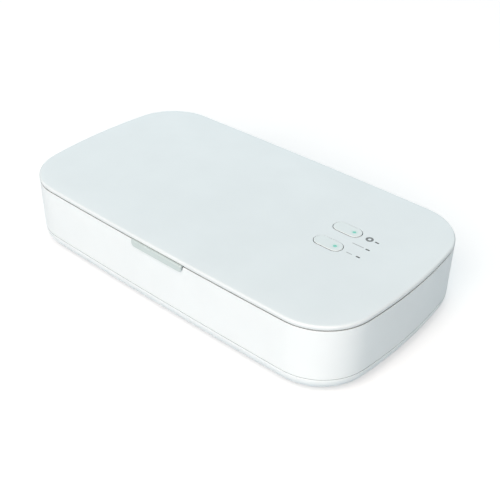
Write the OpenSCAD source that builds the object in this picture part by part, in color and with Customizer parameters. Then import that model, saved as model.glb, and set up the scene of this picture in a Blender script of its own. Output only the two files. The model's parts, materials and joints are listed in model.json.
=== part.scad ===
// Ultraviolet sanitizer box for phones: a flat clamshell box with a hinged lid and two push buttons.
// X runs along the long side, the thumb tab faces -Y, Z is up, and the feet stand on z = 0.

/* [Outline] */
// Length of the box, left to right
box_l = 220; // [200:1:250]
// Width of the box, front to back
box_w = 120; // [112:1:140]
// Radius of the rounded corners, seen from above
corner_r = 29; // [26:0.5:36]
// Radius of the gentle arc of each short end
end_r = 265; // [200:5:600]
// Radius of the nearly straight arc of each long side
side_r = 4000; // [2500:100:9000]

/* [Heights] */
// Height of the rubber feet below the bottom cover
foot_h = 1; // [0.6:0.1:3]
// Height of the bottom cover's side, up to the lower parting line
cover_h = 8.4; // [8:0.1:10]
// Height of the base's rim above the underside of the bottom cover
base_h = 36.6; // [35:0.2:50]
// Height of the lid's edge
lid_edge_h = 2; // [1.9:0.05:3]
// How far the lid's top rises from its edge to its flat middle
lid_crown = 0.35; // [0.3:0.05:0.6]
// Parting gap between the base's rim and the lid's edge
seam_gap = 0.4; // [0.3:0.05:0.7]

/* [Walls and edges] */
// Wall of the base shell
wall = 2.2; // [1.8:0.1:2.6]
// Wall of the lid shell
lid_wall = 1.4; // [1.2:0.1:1.4]
// Wall and floor of the bottom cover
cover_t = 2; // [1.8:0.1:2.4]
// Radius of the bottom cover's rounded edge
cover_edge_r = 7.5; // [5:0.5:8]
// Radius of the lid's rounded upper edge
lid_edge_r = 1.1; // [0.8:0.05:1.3]
// How far in from its edge the lid's top becomes flat
lid_edge_in = 12; // [9:0.5:13]
// Depth of the reveal at the lower parting line
reveal = 0.35; // [0.2:0.05:0.6]
// Height of the step in the base's rim
rim_step = 0.4; // [0.2:0.05:0.6]
// How far in from the outline the stepped rim lies
rim_in = 0.7; // [0.3:0.05:0.9]

/* [Chamber] */
// Distance from the box's outline to the outside of the chamber liner
chamber_inset = 14; // [13.8:0.2:17]
// Sheet of the chamber liner
liner_t = 1.2; // [0.8:0.1:1.4]
// Space between the bottom cover's floor and the chamber liner
under_h = 6; // [5.6:0.2:9]
// Width of the liner's lip that lies on the top frame
lip_w = 1.6; // [1:0.2:3]
// Thickness of the liner's lip
lip_t = 0.3; // [0.2:0.05:0.4]
// How far the top frame lies below the rim
deck_drop = 0.6; // [0.4:0.1:1]
// Thickness of the top frame
deck_t = 2; // [1.6:0.1:2.6]

/* [Phone rack] */
// Diameter of the rack's wires
wire_d = 2; // [1.6:0.1:3]
// Height of the rack's top above the chamber floor
rack_h = 9.8; // [9.4:0.2:12]
// Number of cross wires
rack_wires = 10; // [6:1:12]
// Gap between the ends of the cross wires and the chamber liner
rack_side = 2.8; // [1.8:0.1:10]
// Gap between the middle of the first or last cross wire and the chamber liner
rack_end = 13.8; // [12:0.2:30]
// Distance between the two long rails
rail_gap = 60; // [40:1:68]

/* [Lamps] */
// Diameter of the lamp tubes
lamp_d = 5; // [4:0.1:5.2]
// Length of the lower lamp tube
lower_lamp_l = 150; // [100:1:170]
// Distance of the upper lamp's left end in from the left end of the box
upper_lamp_in = 28; // [25:1:60]
// Gap between the upper lamp's right end and the control board
upper_lamp_gap = 7.1; // [6:0.1:40]
// Length of a lamp's end holder
holder_l = 8; // [6:0.5:10]
// Space between the lower lamp and the chamber floor
lamp_lift = 1.3; // [1:0.1:1.6]

/* [Lid inside] */
// Thickness of the lid frame
frame_t = 0.8; // [0.6:0.1:1]
// Gap between the inside of the lid's edge and the top of the lid frame
frame_gap = 0.2; // [0.2:0.05:0.4]
// Sheet of the lid liner
tray_t = 0.5; // [0.4:0.05:0.5]
// How far the lid liner reaches down below the rim
tray_drop = 4.8; // [4.7:0.1:5.5]
// Gap between the chamber liner and the lid liner that goes into it
tray_gap = 1.4; // [1.2:0.1:2]

/* [Hinge] */
// Distance of each hinge's middle from the box's middle
hinge_x = 62; // [55:0.5:64]
// Radius of the hinge knuckles
knuckle_r = 2.5; // [2.2:0.1:2.8]
// Radius of the hinge pins
pin_r = 1; // [0.8:0.05:1.1]
// Running clearance between a pin and the lid's knuckle, on the radius
pin_clear = 0.05; // [0.03:0.01:0.1]
// Length of the lid's knuckle
lid_knuckle_l = 12; // [9:0.5:13]
// Length of each of the base's knuckles
base_knuckle_l = 8; // [6:0.5:9]
// Distance of the hinge axis in from the rear side
hinge_in = 1.2; // [1:0.1:1.4]
// Distance of the hinge axis below the base's rim
hinge_drop = 1.6; // [1.5:0.1:1.8]
// How far the lid opens, in degrees
open_angle = 100; // [90:1:105]
// Clearance around the knuckles
knuckle_clear = 0.4; // [0.3:0.05:0.5]

/* [Thumb tab] */
// Width of the thumb tab
tab_w = 34; // [24:1:50]
// Middle of the thumb tab, right of the box's middle
tab_x = 2.5; // [-6:0.5:6]
// How far the thumb tab hangs below the lid's edge
tab_h = 3.5; // [2.5:0.1:5]
// Thickness of the thumb tab's lip
tab_t = 1; // [0.8:0.1:1.6]
// Radius of the lip's lower corners
tab_r = 1.8; // [0.5:0.1:2.2]
// Clearance between the thumb tab and the base
tab_clear = 0.3; // [0.25:0.05:0.5]

/* [Controls] */
// Distance of the buttons' middle in from the right end of the box
button_in = 49.2; // [46:0.2:52]
// Middle of the control rows, behind the box's middle
panel_y = 6.5; // [-6:0.5:8]
// Distance between neighbouring control rows
row_pitch = 8; // [7.4:0.1:9]
// Length of a button
button_l = 16; // [13:0.5:17]
// Width of a button
button_w = 8; // [6:0.5:9]
// Gap around a button
button_gap = 0.2; // [0.15:0.05:0.35]
// How far a button stands above the lid
button_up = 0.2; // [0:0.1:0.6]
// How far a button travels
button_travel = 0.6; // [0.3:0.1:0.6]
// Diameter of the green window in a button
dot_d = 1.8; // [1.2:0.1:2.6]
// Distance of the indicator windows' middle in from the right end of the box
window_in = 31.8; // [29.8:0.2:34]
// Length of an indicator window
window_l = 2.4; // [1.6:0.1:4]
// Width of an indicator window
window_w = 0.9; // [0.6:0.1:1.6]

/* [Power inlet] */
// Middle of the power inlet, right of the box's middle
inlet_x = 0; // [-25:1:25]
// Height of the inlet's middle above the lower parting line
inlet_up = 7; // [6:0.5:12]
// Width of the inlet's metal shell
inlet_w = 8.9; // [7:0.1:10]
// Height of the inlet's metal shell
inlet_h = 3.2; // [2.6:0.1:4]
// Depth of the inlet's metal shell
inlet_d = 7.4; // [6:0.2:8]

/* [Hidden] */
$fn = 48;
// Overlap that makes a cut or a join clean
eps = 0.02;

// Heights of the main planes
cover_z = foot_h;
floor_z = cover_z + cover_t;
seam_z = cover_z + cover_h;
rim_z = cover_z + base_h;
deck_z = rim_z - deck_drop;
lid_z = rim_z + seam_gap;
top_z = lid_z + lid_edge_h + lid_crown;
ceiling_z = top_z - lid_wall;
liner_z = floor_z + under_h;
chamber_z = liner_z + liner_t;
frame_top_z = lid_z + lid_edge_h - lid_wall - frame_gap;
frame_z = frame_top_z - frame_t;
tray_z = rim_z - tray_drop;
hinge_z = rim_z - hinge_drop;
hinge_y = box_w / 2 - hinge_in;
hinge_half = lid_knuckle_l / 2 + knuckle_clear + base_knuckle_l;

// Points of the outline along an end arc, a corner and a side arc, in one quarter
end_steps = 3;
corner_steps = 9;
side_steps = 3;
// Steps of a rounded edge's profile, and of the lid's slow rise
edge_steps = 7;
crown_steps = 4;

// Small standard parts and the clearances around them
slip = 0.2;
screw_r = 1.2;
screw_head_r = 2.4;
screw_head_h = 1.6;
head_clear = 0.3;
lid_screw_up = 1.2;
post_r = 3.2;
post_in = 9.5;
post_h = 14.6;
post_top_z = seam_z + post_h;
cover_screw_l = 12;
cover_screw_up = 2;
foot_r = 6;
foot_in = 19;
foot_seat = 0.8;
spigot_t = 1.4;
spigot_up = 2;
spigot_down = 4;
small_screw_r = 0.9;
small_head_r = 1.9;
small_head_h = 0.8;
board_t = 1.2;
board_l = 92;
board_w = 50;
board_post_r = 2.6;
board_post_h = 1;
board_z = floor_z + board_post_h;
board_top_z = board_z + board_t;
board_hole_in = 5;
board_hole_x = board_l / 2 - board_hole_in;
board_hole_y = board_w / 2 - board_hole_in;
ledge_h = 2;
ledge_w = 2;
magnet_r = 3;
magnet_h = 1;
magnet_up = 0.4;
magnet_slip = 0.05;
base_magnet_h = 1.5;
magnet_cup_t = 1.1;
magnet_cup_h = 2;
magnet_in = 9.5;
magnet_x = 70;
sensor_x = 46;
bumper_r = 2.2;
bumper_x = 30;
bumper_in = 7.5;
bumper_gap = 0.1;
rib_t = 1.6;
stop_rib_l = 10;
stop_rib_x = 38;
stop_rib_t = 2;

// Phone rack
wire_r = wire_d / 2;
wire_z = chamber_z + rack_h - wire_r;
rack_w = box_w - 2 * (chamber_inset + liner_t + rack_side);
rack_l = box_l - 2 * (chamber_inset + liner_t + rack_end);
wire_step = rack_l / (rack_wires - 1);
rail_z = wire_z - wire_d;

// Parts on the main board
transformer_x = -22;
transformer_l = 18;
transformer_w = 14;
transformer_foot_h = 1;
transformer_h = 3;
core_l = 12;
core_w = 12;
coil_flange_l = 3;
capacitor_r = 3.1;
capacitor_h = 3;
capacitor_x = 10;
capacitor_y = 12;
capacitor_pitch = 9;
chip_l = 7;
chip_w = 6;
chip_h = 1.4;
chip_x = 4;
chip_y = -12;
chip_pitch = 13;
controller_l = 10;
controller_w = 6;
controller_h = 1.6;
controller_x = 13;
controller_y = 1;
sensor_l = 4;
sensor_w = 3;
sensor_h = 1.6;

// Controls
button_x = box_l / 2 - button_in;
window_x = box_l / 2 - window_in;
control_t = 1;
switch_h = 1.4;
switch_l = 6;
switch_w = 3.6;
plunger_r = 1;
plunger_up = button_travel + slip;
flange_t = 0.8;
flange_out = 1;
flange_gap = 0.2;
flange_z = ceiling_z - flange_gap - flange_t;
stem_h = 0.2;
stem_r = 1.5;
switch_top_z = flange_z - stem_h - plunger_up;
control_z = switch_top_z - switch_h - control_t;
light_l = 1.6;
light_w = 1;
light_h = 0.6;
dot_x = button_x + (button_l - button_w) / 2;
control_l = 34;
control_side = 8;
control_w = 2 * (row_pitch + control_side);
control_x = (button_x - button_l / 2 + window_x + window_l / 2) / 2;
control_hole_in = 2.5;
control_hole_x = control_l / 2 - control_hole_in;
control_hole_y = control_w / 2 - control_hole_in;
control_post_r = 2;
window_lip = 0.5;
window_lip_t = 0.5;
window_t = lid_wall + 1.5;

// Lamp heights, the lid liner's lip and its trough
tray_lip_w = 3;
upper_lamp_x0 = -box_l / 2 + upper_lamp_in;
upper_lamp_x1 = control_x - control_l / 2 - upper_lamp_gap;
upper_lamp_x = (upper_lamp_x0 + upper_lamp_x1) / 2;
upper_lamp_l = upper_lamp_x1 - upper_lamp_x0;
lower_lamp_z = chamber_z + lamp_lift + lamp_d / 2;
trough_side = 2.5;
trough_end = 2;
trough_w = lamp_d + 2 * trough_side;
trough_roof_z = ceiling_z - slip - tray_t;
upper_lamp_z = (tray_z + trough_roof_z) / 2;
trough_l = upper_lamp_l + 2 * trough_end;
holder_side = 2;
holder_top = 1;
lower_holder_end = 2;
upper_holder_end = 1.5;
lamp_glass = 0.7;
lamp_slip = 0.05;

// Inlet
inlet_z = seam_z + inlet_up;
inlet_board_t = 1;
inlet_board_l = 18;
inlet_board_z = inlet_z - inlet_h / 2 - inlet_board_t;
inlet_shelf_t = 1.2;
inlet_shelf_l = 3;
inlet_back = 0.3;
inlet_back_t = 1;
inlet_tongue_in = 1.1;
inlet_tongue_t = 0.7;
inlet_sheet = 0.3;

// Outline: an arc for each end and side, and corner arcs that touch both.
end_cx = box_l / 2 - end_r;
side_cy = box_w / 2 - side_r;
centre_gap = norm([end_cx, side_cy]);
ux = -end_cx / centre_gap;
uy = side_cy / centre_gap;
reach_e = end_r - corner_r;
reach_s = side_r - corner_r;
along = (reach_e * reach_e - reach_s * reach_s + centre_gap * centre_gap) / (2 * centre_gap);
across = sqrt(max(reach_e * reach_e - along * along, 0));
corner_cx = end_cx + ux * along - uy * across;
corner_cy = uy * along + ux * across;
end_a = atan2(corner_cy, corner_cx - end_cx);
side_a = atan2(corner_cy - side_cy, corner_cx);

function arc(cx, cy, r, a0, a1, first, last, steps) =
    [for (k = [first:last]) let (a = a0 + (a1 - a0) * k / steps) [cx + r * cos(a), cy + r * sin(a)]];

function quarter(inset) = concat(
    arc(end_cx, 0, end_r - inset, 0, end_a, 0, end_steps - 1, end_steps),
    arc(corner_cx, corner_cy, corner_r - inset, end_a, side_a, 0, corner_steps, corner_steps),
    arc(0, side_cy, side_r - inset, side_a, 90, 1, side_steps, side_steps));

// The whole outline, moved in by inset, anticlockwise from the +X axis
function outline(inset) = let (q = quarter(inset), n = len(q) - 1) concat(
    q,
    [for (k = [n - 1:-1:0]) [-q[k].x, q[k].y]],
    [for (k = [1:n]) [-q[k].x, -q[k].y]],
    [for (k = [n - 1:-1:1]) [q[k].x, -q[k].y]]);

// Place on the diagonal of a corner, at an inset from the outline
function corner_at(inset) = let (a = (end_a + side_a) / 2)
    [corner_cx + (corner_r - inset) * cos(a), corner_cy + (corner_r - inset) * sin(a)];

// Distance of the long side's arc from the X axis, at x and an inset
function side_y(x, inset) = side_cy + sqrt(pow(side_r - inset, 2) - x * x);

// Rise of the lid's top above its edge, at an inset: a parabola that ends level
function crown(inset) = lid_crown * (1 - pow(1 - inset / lid_edge_in, 2));

// Rings [z, inset] of the lid's top at a height above the lid's edge, between the insets i0 and lid_edge_in
function crown_rings(z, i0) =
    [for (k = [0:crown_steps]) let (i = i0 + (lid_edge_in - i0) * k / crown_steps) [z + crown(i), i]];

// Rings [z, inset] of the lid's upright edge and its rounded corner
function edge_rings() = concat([[lid_z, 0]],
    [for (k = [0:edge_steps - 1]) let (a = 90 * k / edge_steps, i = lid_edge_r * (1 - cos(a)))
        [lid_z + lid_edge_h - lid_edge_r * (1 - sin(a)) + crown(i), i]]);

// Rings [z, inset] of a rounded bottom edge of radius r, whose flat side is at z0 and whose wall is at i0
function bowl(z0, r, i0) =
    [for (k = [0:edge_steps]) let (a = 90 * k / edge_steps) [z0 + r * (1 - cos(a)), i0 + r * (1 - sin(a))]];

// Closed solid through a stack of outline rings
module skin(rings) {
    n = len(outline(0));
    m = len(rings);
    points = [for (r = rings) each [for (p = outline(r[1])) [p.x, p.y, r[0]]]];
    sides = [for (j = [0:m - 2]) each [for (k = [0:n - 1]) let (
        a = j * n + k, b = j * n + (k + 1) % n, c = b + n, d = a + n) each [[a, d, c], [a, c, b]]]];
    caps = [[for (k = [0:n - 1]) k], [for (k = [n - 1:-1:0]) (m - 1) * n + k]];
    polyhedron(points, concat(sides, caps));
}

module slab(z0, z1, inset) {
    translate([0, 0, z0]) linear_extrude(z1 - z0) polygon(outline(inset));
}

module band(z0, z1, outer, inner) {
    translate([0, 0, z0]) linear_extrude(z1 - z0) difference() {
        polygon(outline(outer));
        polygon(outline(inner));
    }
}

module at_corners(inset) {
    p = corner_at(inset);
    for (sx = [-1, 1], sy = [-1, 1]) translate([sx * p.x, sy * p.y, 0]) children();
}

module at_four(x, y, z) {
    for (sx = [-1, 1], sy = [-1, 1]) translate([sx * x, sy * y, z]) children();
}

module at_board_holes(z) {
    at_four(board_hole_x, board_hole_y, z) children();
}

module at_control_holes(z) {
    translate([control_x, panel_y, 0]) at_four(control_hole_x, control_hole_y, z) children();
}

module at_base_magnets(z) {
    for (s = [-1, 1]) translate([s * magnet_x, -side_y(magnet_x, magnet_in), z]) children();
}

module at_lid_magnets(z) {
    for (x = [-magnet_x, sensor_x, magnet_x]) translate([x, -side_y(x, magnet_in), z]) children();
}

module mirrored_x() {
    children();
    mirror([1, 0, 0]) children();
}

// Block between two opposite corners
module block(low, high) {
    translate(low) cube(high - low);
}

module pill(l, w, h) {
    linear_extrude(h) union() {
        for (s = [-1, 1]) translate([s * (l - w) / 2, 0]) circle(d = w);
        square([l - w, w], center = true);
    }
}

module rod_x(x0, x1, r) {
    translate([x0, 0, 0]) rotate([0, 90, 0]) cylinder(h = x1 - x0, r = r);
}

// Screw with its head's underside at the origin and its shank along -Z
module screw(r, l, head_r, head_h) {
    translate([0, 0, -l]) cylinder(h = l + head_h / 2, r = r);
    difference() {
        cylinder(h = head_h, r = head_r);
        translate([0, 0, head_h / 2]) cylinder(h = head_h, r = head_r * 0.5, $fn = 6);
    }
}

module at_hinge(x) {
    translate([x, hinge_y, hinge_z]) children();
}

// Cylinders that stand where the base's knuckles are, for one hinge
module base_knuckles(r, more = 0) {
    inner = lid_knuckle_l / 2 + knuckle_clear;
    at_hinge(hinge_x) mirrored_x()
        rod_x(inner - more, inner + base_knuckle_l + more, r);
}

// Base body

module stop_rib() {
    y = side_y(stop_rib_x, 0);
    dy = y - hinge_y;
    dz = lid_z - hinge_z;
    top = hinge_z - dy * sin(open_angle) + dz * cos(open_angle) - eps - slip * tan(open_angle - 90);
    reach = hinge_y + dy * cos(open_angle) + dz * sin(open_angle) + slip;
    block([stop_rib_x - stop_rib_l / 2, y - wall / 2, top - stop_rib_t],
        [stop_rib_x + stop_rib_l / 2, reach, top]);
}

module post_with_rib() {
    p = corner_at(post_in);
    turn = (end_a + side_a) / 2;
    translate([p.x, p.y, 0]) {
        translate([0, 0, seam_z + spigot_up]) cylinder(h = post_top_z - seam_z - spigot_up, r = post_r);
        rotate([0, 0, turn]) translate([0, -rib_t / 2, seam_z + spigot_up + 1])
            cube([post_in - wall / 2, rib_t, post_top_z - seam_z - spigot_up - 2]);
    }
}

module base_shell() color("white") {
    difference() {
        union() {
            band(seam_z, rim_z - rim_step, 0, wall);
            band(seam_z, rim_z, rim_in, wall);
            band(deck_z - deck_t - ledge_h, deck_z - deck_t, wall / 2, wall + ledge_w);
            for (s = [0, 1], t = [0, 1]) mirror([s, 0, 0]) mirror([0, t, 0]) post_with_rib();
            mirrored_x() base_knuckles(knuckle_r);
            mirrored_x() stop_rib();
            for (s = [-1, 1]) translate([inlet_x + s * (inlet_board_l - inlet_shelf_l) / 2, 0, 0])
                block([-inlet_shelf_l / 2, side_y(inlet_x, 0) - inlet_d - 1, inlet_board_z - inlet_shelf_t],
                    [inlet_shelf_l / 2, side_y(inlet_x, 0) - wall / 2, inlet_board_z]);
        }
        at_corners(post_in) translate([0, 0, seam_z]) cylinder(h = post_top_z - seam_z - 2, r = screw_r);
        mirrored_x() {
            block([hinge_x - lid_knuckle_l / 2 - knuckle_clear, hinge_y - knuckle_r - knuckle_clear,
                hinge_z - knuckle_r - knuckle_clear],
                [hinge_x + lid_knuckle_l / 2 + knuckle_clear, box_w / 2 + 1, rim_z + 1 + knuckle_r]);
            at_hinge(hinge_x) rod_x(-hinge_half, hinge_half, pin_r);
        }
        block([tab_x - tab_w / 2 - tab_clear, -box_w / 2 - 1, tongue_z - tab_clear],
            [tab_x + tab_w / 2 + tab_clear, -box_w / 2 + tongue_in, rim_z + 1]);
        translate([inlet_x, side_y(inlet_x, 0) + 1, inlet_z]) rotate([90, 0, 0])
            pill(inlet_w + 2 * slip, inlet_h + 2 * slip, wall + 2);
    }
}

module bottom_cover() color("white") {
    difference() {
        union() {
            difference() {
                skin(concat(bowl(cover_z, cover_edge_r, 0),
                    [[seam_z - 0.4, 0], [seam_z - 0.38, reveal], [seam_z, reveal]]));
                skin(concat(bowl(floor_z, cover_edge_r - cover_t, cover_t), [[seam_z + 1, cover_t]]));
            }
            band(seam_z - spigot_down, seam_z, 1.2, wall + slip + spigot_t);
            band(seam_z - 1, seam_z + spigot_up, wall + slip, wall + slip + spigot_t);
            at_corners(post_in) translate([0, 0, floor_z - 0.5])
                cylinder(h = seam_z + spigot_up - floor_z + 0.5, r = post_r);
            at_board_holes(floor_z - 0.5) cylinder(h = board_post_h + 0.5, r = board_post_r);
        }
        at_corners(post_in) {
            translate([0, 0, cover_z - 1]) cylinder(h = cover_h + 5, r = screw_r + 0.3);
            translate([0, 0, cover_z - 1])
                cylinder(h = cover_h + 1 - cover_screw_up, r = screw_head_r + slip);
        }
        at_corners(foot_in) translate([0, 0, cover_z - 1]) cylinder(h = 1 + foot_seat, r = foot_r);
        at_board_holes(cover_z + 0.6) cylinder(h = cover_t + board_post_h, r = small_screw_r);
    }
}

module rubber_feet() color("dimgray") {
    at_corners(foot_in) cylinder(h = foot_h + foot_seat, r = foot_r);
}

module cover_screws() color("silver") {
    at_corners(post_in) translate([0, 0, seam_z - cover_screw_up]) mirror([0, 0, 1])
        screw(screw_r, cover_screw_l, screw_head_r, screw_head_h);
}

module top_frame() color("white") {
    difference() {
        union() {
            band(deck_z - deck_t, deck_z, wall + slip, chamber_inset - slip);
            at_base_magnets(deck_z - deck_t - magnet_cup_h)
                cylinder(h = magnet_cup_h + deck_t / 4, r = magnet_r + magnet_cup_t);
        }
        at_base_magnets(deck_z - deck_t - magnet_cup_h - 1) cylinder(h = magnet_cup_h + 1, r = magnet_r);
        mirrored_x() hinge_pocket();
        block([tab_x - tab_w / 2 - tab_clear, -box_w / 2 - 1, tongue_z - tab_clear],
            [tab_x + tab_w / 2 + tab_clear, -box_w / 2 + tongue_in + tab_clear, rim_z + 1]);
        at_corners(post_in) translate([0, 0, frame_z - small_head_h - head_clear])
            cylinder(h = rim_z, r = screw_head_r + head_clear);
    }
}

// Space that the frames leave free around one hinge
module hinge_pocket() {
    half = hinge_half + knuckle_clear;
    block([hinge_x - half, hinge_y - knuckle_r - knuckle_clear, deck_z - deck_t - 3],
        [hinge_x + half, box_w / 2 + 5, top_z]);
}

module chamber_liner() color("gainsboro") {
    band(deck_z, deck_z + lip_t, chamber_inset - lip_w, chamber_inset + liner_t);
    difference() {
        slab(liner_z, deck_z + lip_t, chamber_inset);
        slab(chamber_z, rim_z + 1, chamber_inset + liner_t);
    }
}

// Cross wires that lie on the rack's rails
module phone_rack() color("silver") {
    for (k = [0:rack_wires - 1]) translate([-rack_l / 2 + k * wire_step, -rack_w / 2, wire_z])
        rotate([-90, 0, 0]) cylinder(h = rack_w, r = wire_r);
}

// Two long rails, each on two legs
module rack_rails() color("silver") {
    for (s = [-1, 1]) translate([0, s * rail_gap / 2, rail_z])
        rod_x(-rack_l / 2 - wire_d, rack_l / 2 + wire_d, wire_r);
    at_four((rack_l - wire_step) / 2, rail_gap / 2, chamber_z) cylinder(h = rail_z - chamber_z, r = wire_r);
}

// Glass tube along X with closed ends, its middle at the origin
module lamp(l) {
    difference() {
        rod_x(-l / 2, l / 2, lamp_d / 2);
        rod_x(-l / 2 + 2 * lamp_glass, l / 2 - 2 * lamp_glass, lamp_d / 2 - lamp_glass);
    }
}

module lower_lamp() color("aliceblue") {
    translate([0, 0, lower_lamp_z]) lamp(lower_lamp_l);
}

module lower_lamp_holders() color("ivory") {
    difference() {
        for (s = [-1, 1]) translate([s * (lower_lamp_l / 2 - holder_l / 2 + lower_holder_end), 0, 0])
            block([-holder_l / 2, -lamp_d / 2 - holder_side, chamber_z],
                [holder_l / 2, lamp_d / 2 + holder_side, lower_lamp_z + lamp_d / 2 + holder_top]);
        translate([0, 0, lower_lamp_z]) rod_x(-lower_lamp_l / 2, lower_lamp_l / 2, lamp_d / 2 + lamp_slip);
    }
}

module main_board() color("seagreen") {
    difference() {
        block([-board_l / 2, -board_w / 2, board_z], [board_l / 2, board_w / 2, board_top_z]);
        at_board_holes(board_z - 1) cylinder(h = board_t + 2, r = small_screw_r + slip);
    }
}

module driver_transformer() color("goldenrod") {
    translate([transformer_x, 0, board_top_z]) {
        block([-transformer_l / 2, -transformer_w / 2, 0],
            [transformer_l / 2, transformer_w / 2, transformer_foot_h]);
        block([-core_l / 2, -core_w / 2, transformer_foot_h / 2], [core_l / 2, core_w / 2, transformer_h]);
        for (s = [-1, 1]) translate([s * (transformer_l - coil_flange_l) / 2, 0, 0])
            block([-coil_flange_l / 2, -transformer_w / 2, transformer_foot_h / 2],
                [coil_flange_l / 2, transformer_w / 2, transformer_h]);
    }
}

module board_capacitors() color("dimgray") {
    for (k = [0:2]) translate([capacitor_x + capacitor_pitch * k, capacitor_y, board_top_z])
        cylinder(h = capacitor_h, r = capacitor_r);
}

// Flat block part that stands on the main board, its middle at a place
module chip(x, y, l, w, h) {
    block([x - l / 2, y - w / 2, board_top_z], [x + l / 2, y + w / 2, board_top_z + h]);
}

module board_chips() color("black") {
    for (k = [0:2]) chip(chip_x + chip_pitch * k, chip_y, chip_l, chip_w, chip_h);
    chip(controller_x, controller_y, controller_l, controller_w, controller_h);
}

module board_screws() color("silver") {
    at_board_holes(board_top_z)
        screw(small_screw_r, board_t + board_post_h + 1, small_head_r, small_head_h);
}

module inlet_board() color("seagreen") {
    y = side_y(inlet_x, 0);
    block([inlet_x - inlet_board_l / 2, y - inlet_d - 1.5, inlet_board_z],
        [inlet_x + inlet_board_l / 2, y - wall - slip, inlet_board_z + inlet_board_t]);
}

module power_inlet() color("silver") {
    translate([inlet_x, side_y(inlet_x, 0) - inlet_back, inlet_z]) rotate([90, 0, 0]) difference() {
        pill(inlet_w, inlet_h, inlet_d);
        translate([0, 0, -inlet_back_t])
            pill(inlet_w - 2 * inlet_sheet, inlet_h - 2 * inlet_sheet, inlet_d);
    }
}

module inlet_tongue() color("black") {
    y = side_y(inlet_x, 0) - inlet_back;
    half = inlet_w / 2 - inlet_tongue_in;
    block([inlet_x - half, y - inlet_d + inlet_back_t, inlet_z - inlet_tongue_t / 2],
        [inlet_x + half, y - inlet_tongue_in, inlet_z + inlet_tongue_t / 2]);
}

module base_magnets() color("silver") {
    at_base_magnets(deck_z - deck_t - base_magnet_h) cylinder(h = base_magnet_h, r = magnet_r);
}

module lid_sensor() color("black") {
    translate([sensor_x, -side_y(sensor_x, magnet_in), deck_z - deck_t])
        block([-sensor_l / 2, -sensor_w / 2, -sensor_h], [sensor_l / 2, sensor_w / 2, 0]);
}

module hinge_pins() color("silver") {
    mirrored_x() at_hinge(hinge_x) rod_x(-hinge_half, hinge_half, pin_r);
}

module lid_bumpers() color("dimgray") {
    for (sx = [-1, 1], sy = [-1, 1])
        translate([sx * bumper_x, sy * side_y(bumper_x, bumper_in), deck_z])
            cylinder(h = frame_z - bumper_gap - deck_z, r = bumper_r);
}

// Lid body

module lid_shell() color("white") {
    difference() {
        union() {
            difference() {
                skin(concat(edge_rings(), crown_rings(lid_z + lid_edge_h, lid_edge_r)));
                skin(concat([[lid_z - 1, lid_wall]],
                    crown_rings(lid_z + lid_edge_h - lid_wall, lid_wall)));
            }
            mirrored_x() {
                at_hinge(hinge_x) rod_x(-lid_knuckle_l / 2, lid_knuckle_l / 2, knuckle_r);
                block([hinge_x - lid_knuckle_l / 2, hinge_y - 0.9 * knuckle_r, hinge_z],
                    [hinge_x + lid_knuckle_l / 2, hinge_y - 0.1 * knuckle_r, lid_z + lid_edge_h / 2]);
            }
            at_corners(post_in) translate([0, 0, frame_top_z])
                cylinder(h = ceiling_z + slip - frame_top_z, r = post_r - 0.4);
            at_control_holes(control_z + control_t)
                cylinder(h = ceiling_z - control_z - control_t + 0.5, r = control_post_r);
        }
        mirrored_x() {
            base_knuckles(knuckle_r + knuckle_clear, knuckle_clear);
            at_hinge(hinge_x) rod_x(-lid_knuckle_l, lid_knuckle_l, pin_r + pin_clear);
        }
        for (s = [-1, 1]) translate([button_x, panel_y + s * row_pitch, ceiling_z - 1])
            pill(button_l + 2 * button_gap, button_w + 2 * button_gap, lid_wall + 2);
        for (s = [-1:1]) translate([window_x, panel_y + s * row_pitch, ceiling_z - 1])
            pill(window_l, window_w, lid_wall + 2);
        at_corners(post_in) translate([0, 0, frame_top_z - 1])
            cylinder(h = 1 + lid_screw_up + slip, r = screw_r);
        at_control_holes(control_z) cylinder(h = control_t + 3, r = small_screw_r);
    }
}

// The tab's tongue passes over the base's notched rim and is fixed under the lid frame
tongue_t = 1.2;
tongue_z = lid_z - tongue_t;
tongue_under = 3;
tongue_in = wall + tongue_under;

module thumb_tab() color("honeydew") {
    half = tab_w / 2;
    front = -box_w / 2 - tab_clear - tab_t;
    low = lid_z - tab_h;
    translate([tab_x, 0, 0]) {
        translate([0, front + tab_t, 0]) rotate([90, 0, 0]) linear_extrude(tab_t) union() {
            for (s = [-1, 1]) translate([s * (half - tab_r), low + tab_r]) circle(r = tab_r);
            translate([-half + tab_r, low]) square([tab_w - 2 * tab_r, tab_r]);
            translate([-half, low + tab_r]) square([tab_w, tab_h - tab_r]);
        }
        block([-half, front + tab_t / 2, tongue_z], [half, -box_w / 2 + wall + slip, lid_z]);
        block([-half, front + tab_t / 2, tongue_z], [half, -box_w / 2 + tongue_in, frame_z]);
    }
}

module lid_frame() color("white") {
    difference() {
        band(frame_z, frame_top_z, wall + 2 * slip, chamber_inset + liner_t + tray_gap - slip);
        mirrored_x() hinge_pocket();
        at_corners(post_in) translate([0, 0, frame_z - 1]) cylinder(h = frame_t + 2, r = screw_r + slip);
        at_lid_magnets(frame_z - 1) cylinder(h = frame_t + 2, r = magnet_r + magnet_slip);
    }
}

module lid_liner() color("gainsboro") {
    edge = chamber_inset + liner_t + tray_gap;
    band(frame_top_z, frame_top_z + tray_t, edge - tray_lip_w, edge + tray_t);
    difference() {
        union() {
            difference() {
                slab(tray_z, frame_top_z + tray_t, edge);
                slab(tray_z + tray_t, top_z, edge + tray_t);
            }
            block([upper_lamp_x - trough_l / 2 - tray_t, -trough_w / 2 - tray_t, tray_z],
                [upper_lamp_x + trough_l / 2 + tray_t, trough_w / 2 + tray_t, trough_roof_z + tray_t]);
        }
        block([upper_lamp_x - trough_l / 2, -trough_w / 2, tray_z - 1],
            [upper_lamp_x + trough_l / 2, trough_w / 2, trough_roof_z]);
    }
}

module upper_lamp() color("aliceblue") {
    translate([upper_lamp_x, 0, upper_lamp_z]) lamp(upper_lamp_l);
}

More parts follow.
